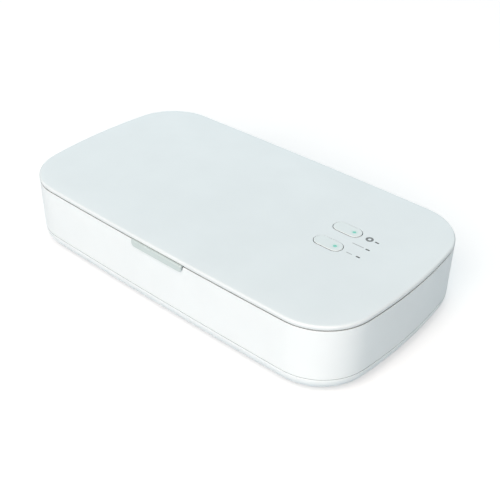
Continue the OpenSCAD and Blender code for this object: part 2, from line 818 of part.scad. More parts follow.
module upper_lamp_holders() color("ivory") {
    difference() {
        reach = upper_lamp_l / 2 - holder_l / 2 + upper_holder_end;
        for (s = [-1, 1]) translate([upper_lamp_x + s * reach, 0, 0])
            block([-holder_l / 2, -trough_w / 2 + slip, tray_z],
                [holder_l / 2, trough_w / 2 - slip, trough_roof_z]);
        translate([upper_lamp_x, 0, upper_lamp_z])
            rod_x(-upper_lamp_l / 2, upper_lamp_l / 2, lamp_d / 2 + lamp_slip);
    }
}

module control_board() color("seagreen") {
    difference() {
        translate([control_x, panel_y, 0])
            block([-control_l / 2, -control_w / 2, control_z],
                [control_l / 2, control_w / 2, control_z + control_t]);
        at_control_holes(control_z - 1) cylinder(h = control_t + 2, r = small_screw_r + slip);
    }
}

module switch_bodies() color("black") {
    z = control_z + control_t;
    for (s = [-1, 1]) translate([button_x, panel_y + s * row_pitch, 0]) difference() {
        block([-switch_l / 2, -switch_w / 2, z], [switch_l / 2, switch_w / 2, z + switch_h]);
        translate([0, 0, z + 0.2]) cylinder(h = switch_h, r = plunger_r + 0.05);
    }
}

module indicator_lights() color("palegreen") {
    places = concat([for (s = [-1, 1]) [dot_x, s]], [for (s = [-1:1]) [window_x, s]]);
    for (p = places) translate([p.x, panel_y + p.y * row_pitch, control_z + control_t])
        block([-light_l / 2, -light_w / 2, 0], [light_l / 2, light_w / 2, light_h]);
}

module indicator_windows() color("dimgray") {
    for (s = [-1:1]) translate([window_x, panel_y + s * row_pitch, 0]) {
        translate([0, 0, top_z - window_t]) pill(window_l, window_w, window_t);
        translate([0, 0, ceiling_z - window_lip_t])
            pill(window_l + 2 * window_lip, window_w + 2 * window_lip, window_lip_t);
    }
}

module control_screws() color("silver") {
    at_control_holes(control_z) mirror([0, 0, 1])
        screw(small_screw_r, control_t + 2, small_head_r, small_head_h);
}

module lid_screws() color("silver") {
    at_corners(post_in) translate([0, 0, frame_z]) mirror([0, 0, 1])
        screw(screw_r, frame_t + lid_screw_up, screw_head_r, small_head_h);
}

module lid_magnets() color("silver") {
    at_lid_magnets(frame_top_z + magnet_up - magnet_h) cylinder(h = magnet_h, r = magnet_r);
}

// Buttons

module at_button(row) {
    translate([button_x, panel_y + row * row_pitch, 0]) children();
}

module button_cap(row) color("whitesmoke") at_button(row) {
    difference() {
        union() {
            translate([0, 0, flange_z]) pill(button_l, button_w, top_z + button_up - flange_z);
            translate([0, 0, flange_z])
                pill(button_l + 2 * flange_out, button_w + 2 * flange_out, flange_t);
            translate([0, 0, flange_z - stem_h]) cylinder(h = stem_h + 0.3, r = stem_r);
        }
        translate([dot_x - button_x, 0, flange_z - 1]) cylinder(h = top_z, r = dot_d / 2);
    }
}

module button_window(row) color("mediumaquamarine") at_button(row) {
    translate([dot_x - button_x, 0, flange_z - stem_h])
        cylinder(h = top_z + button_up - flange_z + stem_h, r = dot_d / 2);
}

module button_plunger(row) color("black") at_button(row) {
    translate([0, 0, switch_top_z - 0.6]) cylinder(h = plunger_up + 0.6, r = plunger_r);
}

module button_1_cap() button_cap(1);
module button_1_window() button_window(1);
module button_1_plunger() button_plunger(1);
module button_2_cap() button_cap(-1);
module button_2_window() button_window(-1);
module button_2_plunger() button_plunger(-1);

base_shell();
bottom_cover();
rubber_feet();
cover_screws();
top_frame();
chamber_liner();
phone_rack();
rack_rails();
lower_lamp();
lower_lamp_holders();
main_board();
driver_transformer();
board_capacitors();
board_chips();
board_screws();
inlet_board();
power_inlet();
inlet_tongue();
base_magnets();
lid_sensor();
hinge_pins();
lid_bumpers();
lid_shell();
thumb_tab();
lid_frame();
lid_liner();
upper_lamp();
upper_lamp_holders();
control_board();
switch_bodies();
indicator_lights();
indicator_windows();
control_screws();
lid_screws();
lid_magnets();
button_1_cap();
button_1_window();
button_1_plunger();
button_2_cap();
button_2_window();
button_2_plunger();
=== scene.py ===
"""Finished surfaces of a flat clamshell sanitizer box for phones, around its construction model.

Every new piece is a stack of outlines: an outline is a function of one inset, and a profile of
(inset, z) points carries it up, so a shell is a grid of two parameters, the way round and the way
along the profile. Lengths are metres, X runs along the long side, the thumb tab faces -Y and the
feet stand on z = 0.
"""

import json
import math

import bpy
import numpy as np
from bpy.props import FloatProperty, FloatVectorProperty, PointerProperty
from mathutils import Matrix, Vector
from mathutils.geometry import delaunay_2d_cdt

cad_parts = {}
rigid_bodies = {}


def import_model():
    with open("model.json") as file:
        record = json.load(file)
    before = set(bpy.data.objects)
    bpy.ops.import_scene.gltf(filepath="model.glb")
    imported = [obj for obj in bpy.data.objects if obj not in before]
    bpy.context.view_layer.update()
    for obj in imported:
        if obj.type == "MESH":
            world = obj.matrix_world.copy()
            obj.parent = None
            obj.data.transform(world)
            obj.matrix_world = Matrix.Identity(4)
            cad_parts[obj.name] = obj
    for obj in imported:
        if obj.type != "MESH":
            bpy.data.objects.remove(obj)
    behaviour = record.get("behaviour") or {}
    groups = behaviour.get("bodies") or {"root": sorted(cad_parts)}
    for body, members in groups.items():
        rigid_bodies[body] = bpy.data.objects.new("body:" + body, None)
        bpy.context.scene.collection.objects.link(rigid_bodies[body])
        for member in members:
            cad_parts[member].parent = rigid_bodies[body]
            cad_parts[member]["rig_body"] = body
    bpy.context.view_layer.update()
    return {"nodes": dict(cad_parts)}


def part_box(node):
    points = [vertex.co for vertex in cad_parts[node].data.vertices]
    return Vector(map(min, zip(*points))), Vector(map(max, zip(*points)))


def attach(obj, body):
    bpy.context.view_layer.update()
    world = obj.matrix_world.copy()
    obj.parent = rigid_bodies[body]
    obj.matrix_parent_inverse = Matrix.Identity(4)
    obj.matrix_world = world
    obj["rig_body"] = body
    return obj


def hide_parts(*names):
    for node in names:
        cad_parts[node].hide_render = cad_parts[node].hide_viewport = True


bl_info = {
    "name": "Phone Sanitizer Box",
    "version": (1, 0, 0),
    "blender": (4, 5, 0),
    "location": "3D View > Sidebar > Sanitizer Box",
    "description": "Builds the finished shells, buttons and chamber of a sanitizer box for phones",
    "category": "Object",
}

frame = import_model()
MM = 0.001

# Sizes that come from the construction model
COVER_LOW, COVER_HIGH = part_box("bottom_cover")
BASE_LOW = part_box("base_shell")[0]
LID_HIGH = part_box("lid_shell")[1]
LINER_LOW, LINER_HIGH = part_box("chamber_liner")
DECK_LOW, DECK_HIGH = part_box("top_frame")
FRAME_LOW, FRAME_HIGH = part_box("lid_frame")
TRAY_LOW, TRAY_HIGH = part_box("lid_liner")
TAB_LOW, TAB_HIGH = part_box("thumb_tab")
PINS_LOW, PINS_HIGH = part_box("hinge_pins")
INLET_LOW, INLET_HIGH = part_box("power_inlet")
CAP_LOW, CAP_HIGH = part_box("button_1_cap")
DOT_LOW, DOT_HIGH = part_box("button_1_window")
SEAM_GAP = 0.4 * MM
LID_Z = TAB_HIGH.z
RIM_Z = LID_Z - SEAM_GAP
SEAM_Z = BASE_LOW.z

# The finest rounding, the two sides of the middle and the three rows on the lid
FINE = 0.1 * MM
SIDES = (-1, 1)
ROWS = (-1, 0, 1)


def length(name, description, millimetres):
    """A length property with its default in millimetres."""
    return FloatProperty(
        name=name, description=description, default=millimetres * MM, unit="LENGTH", precision=5
    )


def colour(name, description, value):
    """A colour property with a linear red, green and blue default."""
    return FloatVectorProperty(
        name=name, description=description, default=value, size=3, subtype="COLOR", min=0, max=1
    )


def centre(low, high):
    """The middle of a box as three numbers."""
    return [(a + b) / 2 for a, b in zip(low, high)]


class OutlineSizes(bpy.types.PropertyGroup):
    """The box seen from above, and the edges of its shells."""

    corner_radius: length("Corner radius", "Radius of the corners seen from above", 29)
    end_radius: length("End radius", "Radius of the gentle arc of each short end", 265)
    side_radius: length("Side radius", "Radius of the nearly straight arc of each long side", 4000)
    wall: length("Base wall", "Wall of the base shell", 2.2)
    lid_wall: length("Lid wall", "Wall of the lid shell", 1.4)
    lid_edge_radius: length("Lid edge radius", "Radius of the lid's rounded upper edge", 1.1)
    lid_edge_in: length("Lid edge", "How far in from its edge the lid's top becomes flat", 12)
    lid_crown: length("Lid crown", "How far the lid's top rises from its edge to its middle", 0.35)
    rim_step: length("Rim step", "Height of the step in the base's rim", 0.4)
    rim_in: length("Rim inset", "How far in the stepped rim lies", 0.7)
    cover_wall: length("Cover wall", "Wall of the bottom cover", 2)
    cover_edge: length("Cover edge", "Radius of the bottom cover's rounded edge", 7.5)
    reveal: length("Reveal", "Depth of the lower parting line", 0.35)
    soft_edge: length("Soft edge", "Radius that breaks the edges of the moulded shells", 0.3)


class ControlSizes(bpy.types.PropertyGroup):
    """Buttons, indicator windows and printed marks on the lid."""

    row_pitch: length("Row pitch", "Distance between neighbouring rows", 8)
    panel_y: length("Panel middle", "Middle row, behind the box's middle", 6.5)
    button_x: length("Buttons", "Middle of the buttons, right of the box's middle", 60.8)
    button_l: length("Button length", "Length of a button", 16)
    button_w: length("Button width", "Width of a button", 8)
    button_gap: length("Button gap", "Gap around a button", 0.2)
    window_x: length("Windows", "Middle of the indicator windows", 78.2)
    window_l: length("Window length", "Length of an indicator window", 2.4)
    window_w: length("Window width", "Width of an indicator window", 0.9)
    ring_x: length("Ring mark", "Middle of the printed ring", 73.9)
    ring_r: length("Ring radius", "Outer radius of the printed ring", 2)
    print_t: length("Print thickness", "Thickness of the printed ink", 0.02)


class Finishes(bpy.types.PropertyGroup):
    """Colours of the moulded parts, the chamber and the controls."""

    shell: colour("Shell", "White plastic of the base and the bottom cover", (0.84, 0.89, 0.90))
    # Darker than the shell: painted shade that dims the lid's top.
    lid: colour("Lid", "White plastic of the lid", (0.72, 0.78, 0.795))
    inside: colour("Inside", "White plastic of the deck and the lid frame", (0.72, 0.74, 0.74))
    # Darker and greener than the shell: painted shade on the tab's face.
    tab: colour("Tab", "Pale plastic of the thumb tab", (0.56, 0.645, 0.635))
    button: colour("Button", "Button plastic", (0.70, 0.77, 0.775))
    glow: colour("Glow", "Mint green of the lit windows", (0.13, 0.52, 0.42))
    dark: colour("Dark window", "Smoked windows and printed marks", (0.045, 0.06, 0.062))
    liner: colour("Liner", "Bright metal of the chamber", (0.68, 0.70, 0.72))
    rubber: colour("Rubber", "Rubber of the feet and bumpers", (0.10, 0.105, 0.11))


# ---------------------------------------------------------------- outlines, profiles and stacks


def arc(centre_x, centre_y, radius, start, end, steps):
    """Points of a circular arc from angle start to end, without its last point."""
    a = start + (end - start) * np.arange(steps) / steps
    return np.column_stack((centre_x + radius * np.cos(a), centre_y + radius * np.sin(a)))


def box_outline(s):
    """The box's outline as a function of the inset: arcs for the ends, sides and corners.

    A corner's middle lies at end_radius - corner_radius from the end arc's middle and at
    side_radius - corner_radius from the side arc's middle, so arcs meet without a kink.
    """
    end_steps, corner_steps, side_steps = 14, 30, 40
    half_l = COVER_HIGH.x
    half_w = COVER_HIGH.y
    end_cx = half_l - s.end_radius
    side_cy = half_w - s.side_radius
    gap = math.hypot(end_cx, side_cy)
    ux, uy = -end_cx / gap, side_cy / gap
    reach_e = s.end_radius - s.corner_radius
    reach_s = s.side_radius - s.corner_radius
    along = (reach_e**2 - reach_s**2 + gap**2) / (2 * gap)
    across = math.sqrt(reach_e**2 - along**2)
    cx = end_cx + ux * along - uy * across
    cy = uy * along + ux * across
    end_a = math.atan2(cy, cx - end_cx)
    side_a = math.atan2(cy - side_cy, cx)

    def at(inset):
        quarter = np.vstack((
            arc(end_cx, 0, s.end_radius - inset, 0, end_a, end_steps),
            arc(cx, cy, s.corner_radius - inset, end_a, side_a, corner_steps),
            arc(0, side_cy, s.side_radius - inset, side_a, math.pi / 2, side_steps),
            [[0, half_w - inset]],
        ))
        return np.vstack((quarter, quarter[-2::-1] * (-1, 1), quarter[1:] * (-1, -1),
                          quarter[-2:0:-1] * (1, -1)))

    at.corner = lambda inset: (
        cx + (s.corner_radius - inset) * math.cos((end_a + side_a) / 2),
        cy + (s.corner_radius - inset) * math.sin((end_a + side_a) / 2),
    )
    at.side_y = lambda x, inset=0.0: side_cy + math.sqrt((s.side_radius - inset) ** 2 - x * x)
    return at


def round_rect(long, wide, radius, steps=12):
    """A rectangle's outline with round corners as a function of the inset."""
    smallest = 0.02 * MM

    def at(inset):
        r = max(radius - inset, smallest)
        x, y = long / 2 - inset - r, wide / 2 - inset - r
        corners = [(x, y), (-x, y), (-x, -y), (x, -y)]
        return np.vstack([arc(cx, cy, r, q * math.pi / 2, (q + 1) * math.pi / 2, steps)
                          for q, (cx, cy) in enumerate(corners)])

    return at


def pill(long, wide, steps=20):
    """A slot's outline, two half circles and two straight sides, as a function of the inset."""

    def at(inset):
        r, x = wide / 2 - inset, (long - wide) / 2
        right = arc(x, 0, r, -math.pi / 2, math.pi / 2, steps)
        left = arc(-x, 0, r, math.pi / 2, 3 * math.pi / 2, steps)
        return np.vstack((right, [[x, r]], left, [[-x, -r]]))

    return at


def disc(radius, steps=48):
    """A circle as a function of the inset."""
    return lambda inset: arc(0, 0, radius - inset, 0, 2 * math.pi, steps)


def fillet(corners, closed=False, steps=6, guard=0.12 * MM):
    """A profile of (inset, z) points with rounded corners.

    Each corner is (inset, z) or (inset, z, radius). A corner with a radius becomes an arc that
    touches both sides, and one more point on each side, guard away, keeps the flat stretches flat
    in the shading. Where two radii meet on one side, they share most of its length.
    """
    most, guard_share = 0.98, 0.4
    count = len(corners)
    radii = [corner[2] if len(corner) > 2 else 0 for corner in corners]
    points = []
    for k, corner in enumerate(corners):
        p = np.array(corner[:2], float)
        radius = radii[k]
        if not radius or (not closed and k in (0, count - 1)):
            points.append(p)
            continue
        before = np.array(corners[k - 1][:2], float) - p
        after = np.array(corners[(k + 1) % count][:2], float) - p
        la, lb = np.linalg.norm(before), np.linalg.norm(after)
        before, after = before / la, after / lb
        half = math.acos(float(np.clip(before @ after, -1, 1))) / 2
        share_a = radius / (radius + radii[k - 1])
        share_b = radius / (radius + radii[(k + 1) % count])
        cut = min(radius / math.tan(half), most * share_a * la, most * share_b * lb)
        radius = cut * math.tan(half)
        middle = p + (before + after) / np.linalg.norm(before + after) * radius / math.sin(half)
        start, end = p + before * cut - middle, p + after * cut - middle
        turn = math.atan2(start[0] * end[1] - start[1] * end[0], start @ end)
        points.append(p + before * (cut + min(guard, guard_share * (la - cut))))
        for a in turn * np.arange(steps + 1) / steps:
            points.append(middle + (start[0] * math.cos(a) - start[1] * math.sin(a),
                                    start[0] * math.sin(a) + start[1] * math.cos(a)))
        points.append(p + after * (cut + min(guard, guard_share * (lb - cut))))
    return points


def stack(outline, profile, closed=False):
    """A shell from an outline carried along a profile: its point (j, k) is the k-th point of the
    outline at the j-th inset, at the j-th height.

    The profile runs anticlockwise with outward to the right, so faces point outwards. An open
    profile starts and ends on a flat face, which closes the shell. Returns vertices and faces.
    """
    rings = [outline(inset) for inset, _ in profile]
    n, m = len(rings[0]), len(rings)
    verts = np.vstack([np.column_stack((ring, np.full(n, z)))
                       for ring, (_, z) in zip(rings, profile)])
    j = np.arange(m if closed else m - 1)[:, None]
    k = np.arange(n)[None, :]
    a, b = j * n + k, j * n + (k + 1) % n
    up = ((j + 1) % m) * n
    quads = np.stack((a, b, up + (k + 1) % n, up + k), -1).reshape(-1, 4).tolist()
    if not closed:
        quads.append(list(range(n))[::-1])
        quads.append(list(range((m - 1) * n, m * n)))
    return verts, quads


def placed(shape, at=(0, 0, 0), turn=None):
    """The shape turned by a matrix, then moved."""
    verts, faces = shape
    if turn is not None:
        verts = verts @ np.array(turn, float).T
    return verts + np.array(at, float), faces


def joined(shapes):
    """Several shapes as one, without welding them."""
    verts, faces, start = [], [], 0
    for v, f in shapes:
        verts.append(v)
        faces.extend([[i + start for i in face] for face in f])
        start += len(v)
    return np.vstack(verts), faces


ALONG_X = Matrix(((0, 0, 1), (1, 0, 0), (0, 1, 0)))
ALONG_Y = Matrix(((1, 0, 0), (0, 0, 1), (0, -1, 0)))
ALONG_MINUS_Y = Matrix(((1, 0, 0), (0, 0, -1), (0, 1, 0)))


def solid(outline, z0, z1, edge=0.0):
    """A plain solid between two heights, with its two rims rounded by edge."""
    if not edge:
        return stack(outline, [(0, z0), (0, z1)])
    return stack(outline, fillet([(2 * edge, z0), (0, z0, edge), (0, z1, edge), (2 * edge, z1)],
                                 steps=4))


def plate(outline, z0, z1, border):
    """A plain solid between two heights, whose two flat faces have a border."""
    return stack(outline, [(border, z0), (0, z0), (0, z1), (border, z1)])


def band(outline, outer, inner, z0, z1, edges=(0, 0, 0, 0)):
    """A closed band between two insets and two heights, with a radius for each of its edges:
    inner lower, outer lower, outer upper and inner upper.
    """
    corners = ((inner, z0), (outer, z0), (outer, z1), (inner, z1))
    profile = [(*corner, edge) for corner, edge in zip(corners, edges)]
    return stack(outline, fillet(profile, closed=True), closed=True)


def domed(z0, z1, r, depth, angles):
    """Profile of a bar of radius r whose two ends are quarter ellipses of a depth."""
    a = np.radians(angles)
    end = list(zip(r * (1 - np.sin(a)), depth * (1 - np.cos(a))))
    return [(inset, z0 + z) for inset, z in end] + [(inset, z1 - z) for inset, z in end[::-1]]


def inside(points, ring):
    """Which points lie inside a closed ring, by counting the edges that a ray along +X crosses."""
    x, y = points[:, :1], points[:, 1:]
    x0, y0 = ring.T
    x1, y1 = np.roll(ring, -1, axis=0).T
    with np.errstate(divide="ignore", invalid="ignore"):
        cross = ((y0 > y) != (y1 > y)) & (x < x0 + (y - y0) * (x1 - x0) / (y1 - y0))
    return cross.sum(axis=1) % 2 == 1


def flat_sheet(rings):
    """Triangles that fill the first ring and leave the other rings open.

    Their corners are indices into the rings laid end to end.
    """
    points = np.vstack(rings) / MM
    edges, start = [], 0
    for ring in rings:
        n = len(ring)
        edges += [(start + k, start + (k + 1) % n) for k in range(n)]
        start += n
    found = delaunay_2d_cdt([Vector(p) for p in points.tolist()], edges, [], 1, 1e-6, True)
    back = [ids[0] for ids in found[3]]
    faces = np.array([[back[i] for i in face] for face in found[2]])
    middles = points[faces].mean(axis=1)
    keep = ~np.any([inside(middles, ring / MM) for ring in rings[1:]], axis=0)
    faces = faces[keep]
    a, b, c = (points[faces[:, i]] for i in range(3))
    clockwise = (b - a)[:, 0] * (c - a)[:, 1] < (b - a)[:, 1] * (c - a)[:, 0]
    faces[clockwise] = faces[clockwise][:, ::-1]
    return faces


def drilled(outline, profile, holes):
    """A stack with holes through its two flat ends. Each hole is (outline, place, profile).

    A hole's profile runs from the first end's height to the last end's. Its wall is a stack turned
    inside out, and each end is filled between the outer ring and the holes' rings.
    """
    verts, faces = stack(outline, profile)
    faces = faces[:-2]
    n, m = len(outline(0)), len(profile)
    low_rings, high_rings = [np.arange(n)], [np.arange((m - 1) * n, m * n)]
    for shape, (x, y), path in holes:
        v, f = stack(shape, path)
        start, k = len(verts), len(shape(0))
        verts = np.vstack((verts, v + (x, y, 0)))
        faces += [[i + start for i in face[::-1]] for face in f[:-2]]
        low_rings.append(np.arange(start, start + k))
        high_rings.append(np.arange(start + len(v) - k, start + len(v)))
    for rings, turn in ((low_rings, -1), (high_rings, 1)):
        order = np.concatenate(rings)
        faces += order[flat_sheet([verts[r, :2] for r in rings])][:, ::turn].tolist()
    return verts, faces


def hole_path(low, high, edge, guard=0.15 * MM):
    """Profile of a hole through a flat wall, round at its top, with a flat border at both ends."""
    a = np.radians(range(0, 91, 15))
    round_edge = zip(-edge * (1 - np.cos(a)), high - edge + edge * np.sin(a))
    return [(-guard, low), (0, low), *round_edge, (-edge - guard, high)]


def round_box(low, high, edge=0.2 * MM):
    """A block between two corners with all its edges rounded."""
    low, high = np.array(low, float), np.array(high, float)
    size, middle = high - low, (low + high) / 2
    shape = solid(round_rect(size[0], size[1], edge, 4), 0, size[2], edge)
    return placed(shape, (middle[0], middle[1], low[2]))


def rod_x(x0, x1, radius, edge=0.15 * MM, steps=40):
    """A round bar along X with broken edges, its axis on the X axis."""
    return placed(solid(disc(radius, steps), x0, x1, edge), turn=ALONG_X)


# ---------------------------------------------------------------- meshes and pieces


def mesh_of(name, shape):
    """A mesh from a shape's vertices and faces."""
    mesh = bpy.data.meshes.new(name)
    mesh.from_pydata(shape[0].tolist(), [], shape[1])
    mesh.update()
    return mesh


def shape_of(mesh):
    """A mesh's vertices and faces as a shape."""
    verts = np.empty(len(mesh.vertices) * 3)
    mesh.vertices.foreach_get("co", verts)
    return verts.reshape(-1, 3), [list(p.vertices) for p in mesh.polygons]


def worked(shape, prepare):
    """The shape after the modifiers that prepare(object) adds to a scratch object."""
    scratch = bpy.data.objects.new("scratch", mesh_of("scratch", shape))
    bpy.context.scene.collection.objects.link(scratch)
    extra = prepare(scratch) or []
    graph = bpy.context.evaluated_depsgraph_get()
    mesh = bpy.data.meshes.new_from_object(scratch.evaluated_get(graph))
    result = shape_of(mesh)
    bpy.data.meshes.remove(mesh)
    for o in [scratch, *extra]:
        data = o.data
        bpy.data.objects.remove(o)
        bpy.data.meshes.remove(data)
    return result


def carved(shape, tools, operation="DIFFERENCE"):
    """The shape with the tool shapes cut out of it, or united with it."""

    def prepare(o):
        tool = bpy.data.objects.new("tool", mesh_of("tool", joined(tools)))
        bpy.context.scene.collection.objects.link(tool)
        modifier = o.modifiers.new("carve", "BOOLEAN")
        modifier.operation = operation
        modifier.solver = "EXACT"
        modifier.use_self = operation == "UNION"
        modifier.object = tool
        return [tool]

    result = worked(shape, prepare)
    if not len(result[1]):
        raise RuntimeError("a cut left nothing of its piece")
    return result


def bevelled(shape, width, angle=40, segments=2):
    """The shape with its sharp edges broken by a small bevel."""

    def prepare(o):
        modifier = o.modifiers.new("bevel", "BEVEL")
        modifier.width = width
        modifier.segments = segments
        modifier.limit_method = "ANGLE"
        modifier.angle_limit = math.radians(angle)
        modifier.use_clamp_overlap = True

    return worked(shape, prepare)


def cad_shape(node):
    """A copy of a construction node's mesh with its loose triangles welded."""
    reach = 0.002 * MM
    verts, faces = shape_of(frame["nodes"][node].data)
    _, first, same = np.unique(np.round(verts / reach).astype(np.int64), axis=0,
                               return_index=True, return_inverse=True)
    same = same.reshape(-1)
    welded = [[int(same[i]) for i in face] for face in faces]
    return verts[first], [f for f in welded if len(set(f)) == len(f)]


def piece(name, shapes, materials, body, replaces=(), sharp=32, material_of=None):
    """A shown piece from shapes: it rides on a body and stands for construction nodes.

    material_of gives each shape's place in the list of materials.
    """
    mesh = mesh_of(name, joined(shapes))
    for material in materials if isinstance(materials, (list, tuple)) else [materials]:
        mesh.materials.append(material)
    if material_of is not None:
        counts = [len(faces) for _, faces in shapes]
        mesh.polygons.foreach_set("material_index", np.repeat(material_of, counts).astype(np.int32))
    mesh.shade_smooth()
    mesh.set_sharp_from_angle(angle=math.radians(sharp))
    o = bpy.data.objects.new(name, mesh)
    bpy.context.scene.collection.objects.link(o)
    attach(o, body)
    if replaces:
        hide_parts(*([replaces] if isinstance(replaces, str) else replaces))
    return o


# ---------------------------------------------------------------- materials


def shader_of(name):
    """A new material with a Principled shader. Returns the material, its tree and the shader."""
    material = bpy.data.materials.new(name)
    material.use_nodes = True
    tree = material.node_tree
    shader = next(n for n in tree.nodes if n.type == "BSDF_PRINCIPLED")
    return material, tree, shader


def noise(tree, size, detail=2.0, stretch=(1, 1, 1)):
    """The height of a noise on Object coordinates whose grains are about size metres across."""
    where = tree.nodes.new("ShaderNodeTexCoord")
    mapping = tree.nodes.new("ShaderNodeMapping")
    mapping.inputs["Scale"].default_value = stretch
    texture = tree.nodes.new("ShaderNodeTexNoise")
    texture.inputs["Scale"].default_value = 1 / size
    texture.inputs["Detail"].default_value = detail
    tree.links.new(where.outputs["Object"], mapping.inputs["Vector"])
    tree.links.new(mapping.outputs["Vector"], texture.inputs["Vector"])
    return texture.outputs["Fac"]


def ramp(tree, factor, stops):
    """A colour ramp over a factor. stops are (position, linear colour)."""
    node = tree.nodes.new("ShaderNodeValToRGB")
    elements = node.color_ramp.elements
    while len(elements) < len(stops):
        elements.new(0.5)
    for element, (position, value) in zip(elements, stops):
        element.position = position
        element.color = (*value, 1)
    tree.links.new(factor, node.inputs["Fac"])
    return node.outputs["Color"]


def spread(tree, factor, low, high):
    """The factor's 0.3 to 0.7, where a noise mostly lies, stretched to run from low to high."""
    return mapped(tree, factor, 0.3, 0.7, low, high).outputs["Result"]


def mapped(tree, factor, start, end, low, high):
    """A node that maps the factor's start to end onto low to high."""
    node = tree.nodes.new("ShaderNodeMapRange")
    ends = {"From Min": start, "From Max": end, "To Min": low, "To Max": high}
    for socket, value in ends.items():
        node.inputs[socket].default_value = value
    tree.links.new(factor, node.inputs["Value"])
    return node


def bumped(tree, shader, height, depth, strength=1.0):
    """Gives the shader a bump of depth metres from a height."""
    node = tree.nodes.new("ShaderNodeBump")
    node.inputs["Distance"].default_value = depth
    node.inputs["Strength"].default_value = strength
    tree.links.new(height, node.inputs["Height"])
    tree.links.new(node.outputs["Normal"], shader.inputs["Normal"])


def mottled(tree, factor, value, less, start=0.3):
    """Patches of a colour over a factor: it fades to a deeper one, less times as bright."""
    deeper = tuple(c * less for c in value)
    return ramp(tree, factor, [(start, deeper), (1 - start, tuple(value))])


def painted_gap_shade(tree, tint, reach, darkest_painted_shade):
    """Painted shade: the tint made darker and a little cooler in gaps narrower than reach, down to
    the deepest value given.
    """
    # The painted shade leans cool, like shade under the bluish fill.
    cooler = (0.88 * darkest_painted_shade, darkest_painted_shade, darkest_painted_shade)
    open_sky = tree.nodes.new("ShaderNodeAmbientOcclusion")
    open_sky.samples = 12
    open_sky.inputs["Distance"].default_value = reach
    fade = ramp(tree, open_sky.outputs["AO"], [(0.25, cooler), (0.75, (1, 1, 1))])
    blend = tree.nodes.new("ShaderNodeMix")
    blend.data_type = "RGBA"
    blend.blend_type = "MULTIPLY"
    blend.inputs["Factor"].default_value = 1
    tree.links.new(tint, blend.inputs["A"])
    tree.links.new(fade, blend.inputs["B"])
    return blend.outputs["Result"]


def moulded(name, value, roughness, grain=0.35 * MM, depth=0.004 * MM, variation=0.975,
            darkest_painted_shade=0.0):
    """Moulded plastic: faintly cloudy colour, a fine spark-eroded grain, uneven gloss and, when
    asked, painted shade in narrow gaps.
    """
    cloud, gloss_patch, painted_shade_reach, wander = 28 * MM, 6 * MM, 1.2 * MM, 0.03
    material, tree, shader = shader_of(name)
    tint = mottled(tree, noise(tree, cloud, 3), value, variation, 0.35)
    # Painted shade: seams, the rings round the buttons and the tab's lower edge come out darker in
    # colour.
    if darkest_painted_shade:
        tint = painted_gap_shade(tree, tint, painted_shade_reach, darkest_painted_shade)
    gloss = spread(tree, noise(tree, gloss_patch, 4), roughness - wander, roughness + wander)
    tree.links.new(tint, shader.inputs["Base Color"])
    tree.links.new(gloss, shader.inputs["Roughness"])
    bumped(tree, shader, noise(tree, grain, 3), depth)
    shader.inputs["IOR"].default_value = 1.47
    return material


def metal(name, value, roughness, stretch=(1, 1, 1), grain=0.5 * MM, depth=0.002 * MM):
    """Plated or brushed metal: fine lines or pits, and a gloss that wanders a little."""
    tarnish, gloss_patch = 5 * MM, 3 * MM
    material, tree, shader = shader_of(name)
    tint = mottled(tree, noise(tree, tarnish, 3, stretch), value, 0.93)
    gloss = spread(tree, noise(tree, gloss_patch, 4, stretch), roughness - 0.05, roughness + 0.06)
    tree.links.new(tint, shader.inputs["Base Color"])
    tree.links.new(gloss, shader.inputs["Roughness"])
    bumped(tree, shader, noise(tree, grain, 2, stretch), depth)
    shader.inputs["Metallic"].default_value = 1
    return material


def rubber(name, value):
    """Matt rubber with a coarse, slightly dusty skin."""
    dust, skin = 2 * MM, 0.3 * MM
    material, tree, shader = shader_of(name)
    tint = mottled(tree, noise(tree, dust, 4), value, 0.75)
    tree.links.new(tint, shader.inputs["Base Color"])
    bumped(tree, shader, noise(tree, skin, 3), 0.02 * MM)
    shader.inputs["Roughness"].default_value = 0.75
    shader.inputs["Specular IOR Level"].default_value = 0.3
    return material


def quartz(name):
    """Clear quartz of a germicidal lamp, with faint draw lines along the tube."""
    drawn, clear = (0.90, 0.94, 0.97), (0.96, 0.98, 1.0)
    material, tree, shader = shader_of(name)
    lines = noise(tree, 0.8 * MM, 2, (0.05, 1, 1))
    tint = ramp(tree, lines, [(0.3, drawn), (0.7, clear)])
    tree.links.new(tint, shader.inputs["Base Color"])
    tree.links.new(spread(tree, lines, 0.03, 0.09), shader.inputs["Roughness"])
    bumped(tree, shader, lines, 0.004 * MM)
    shader.inputs["Transmission Weight"].default_value = 0.9
    shader.inputs["IOR"].default_value = 1.46
    return material


def circuit_board(name):
    """Green solder mask over a web of raised tracks."""
    track, mask, mesh_size = (0.05, 0.30, 0.13), (0.015, 0.15, 0.06), 5 * MM
    material, tree, shader = shader_of(name)
    where = tree.nodes.new("ShaderNodeTexCoord")
    cells = tree.nodes.new("ShaderNodeTexVoronoi")
    cells.feature = "DISTANCE_TO_EDGE"
    cells.distance = "CHEBYCHEV"
    cells.inputs["Scale"].default_value = 1 / mesh_size
    tree.links.new(where.outputs["Object"], cells.inputs["Vector"])
    edge = cells.outputs["Distance"]
    tree.links.new(ramp(tree, edge, [(0.05, track), (0.09, mask)]), shader.inputs["Base Color"])
    bumped(tree, shader, edge, 0.02 * MM, 0.4)
    shader.inputs["Roughness"].default_value = 0.35
    return material


def glowing(name, value, strength):
    """A lit lens: coloured resin that glows a little unevenly."""
    material, tree, shader = shader_of(name)
    tint = mottled(tree, noise(tree, 0.8 * MM, 2), value, 0.8)
    tree.links.new(tint, shader.inputs["Base Color"])
    tree.links.new(tint, shader.inputs["Emission Color"])
    shader.inputs["Emission Strength"].default_value = strength
    shader.inputs["Roughness"].default_value = 0.2
    return material


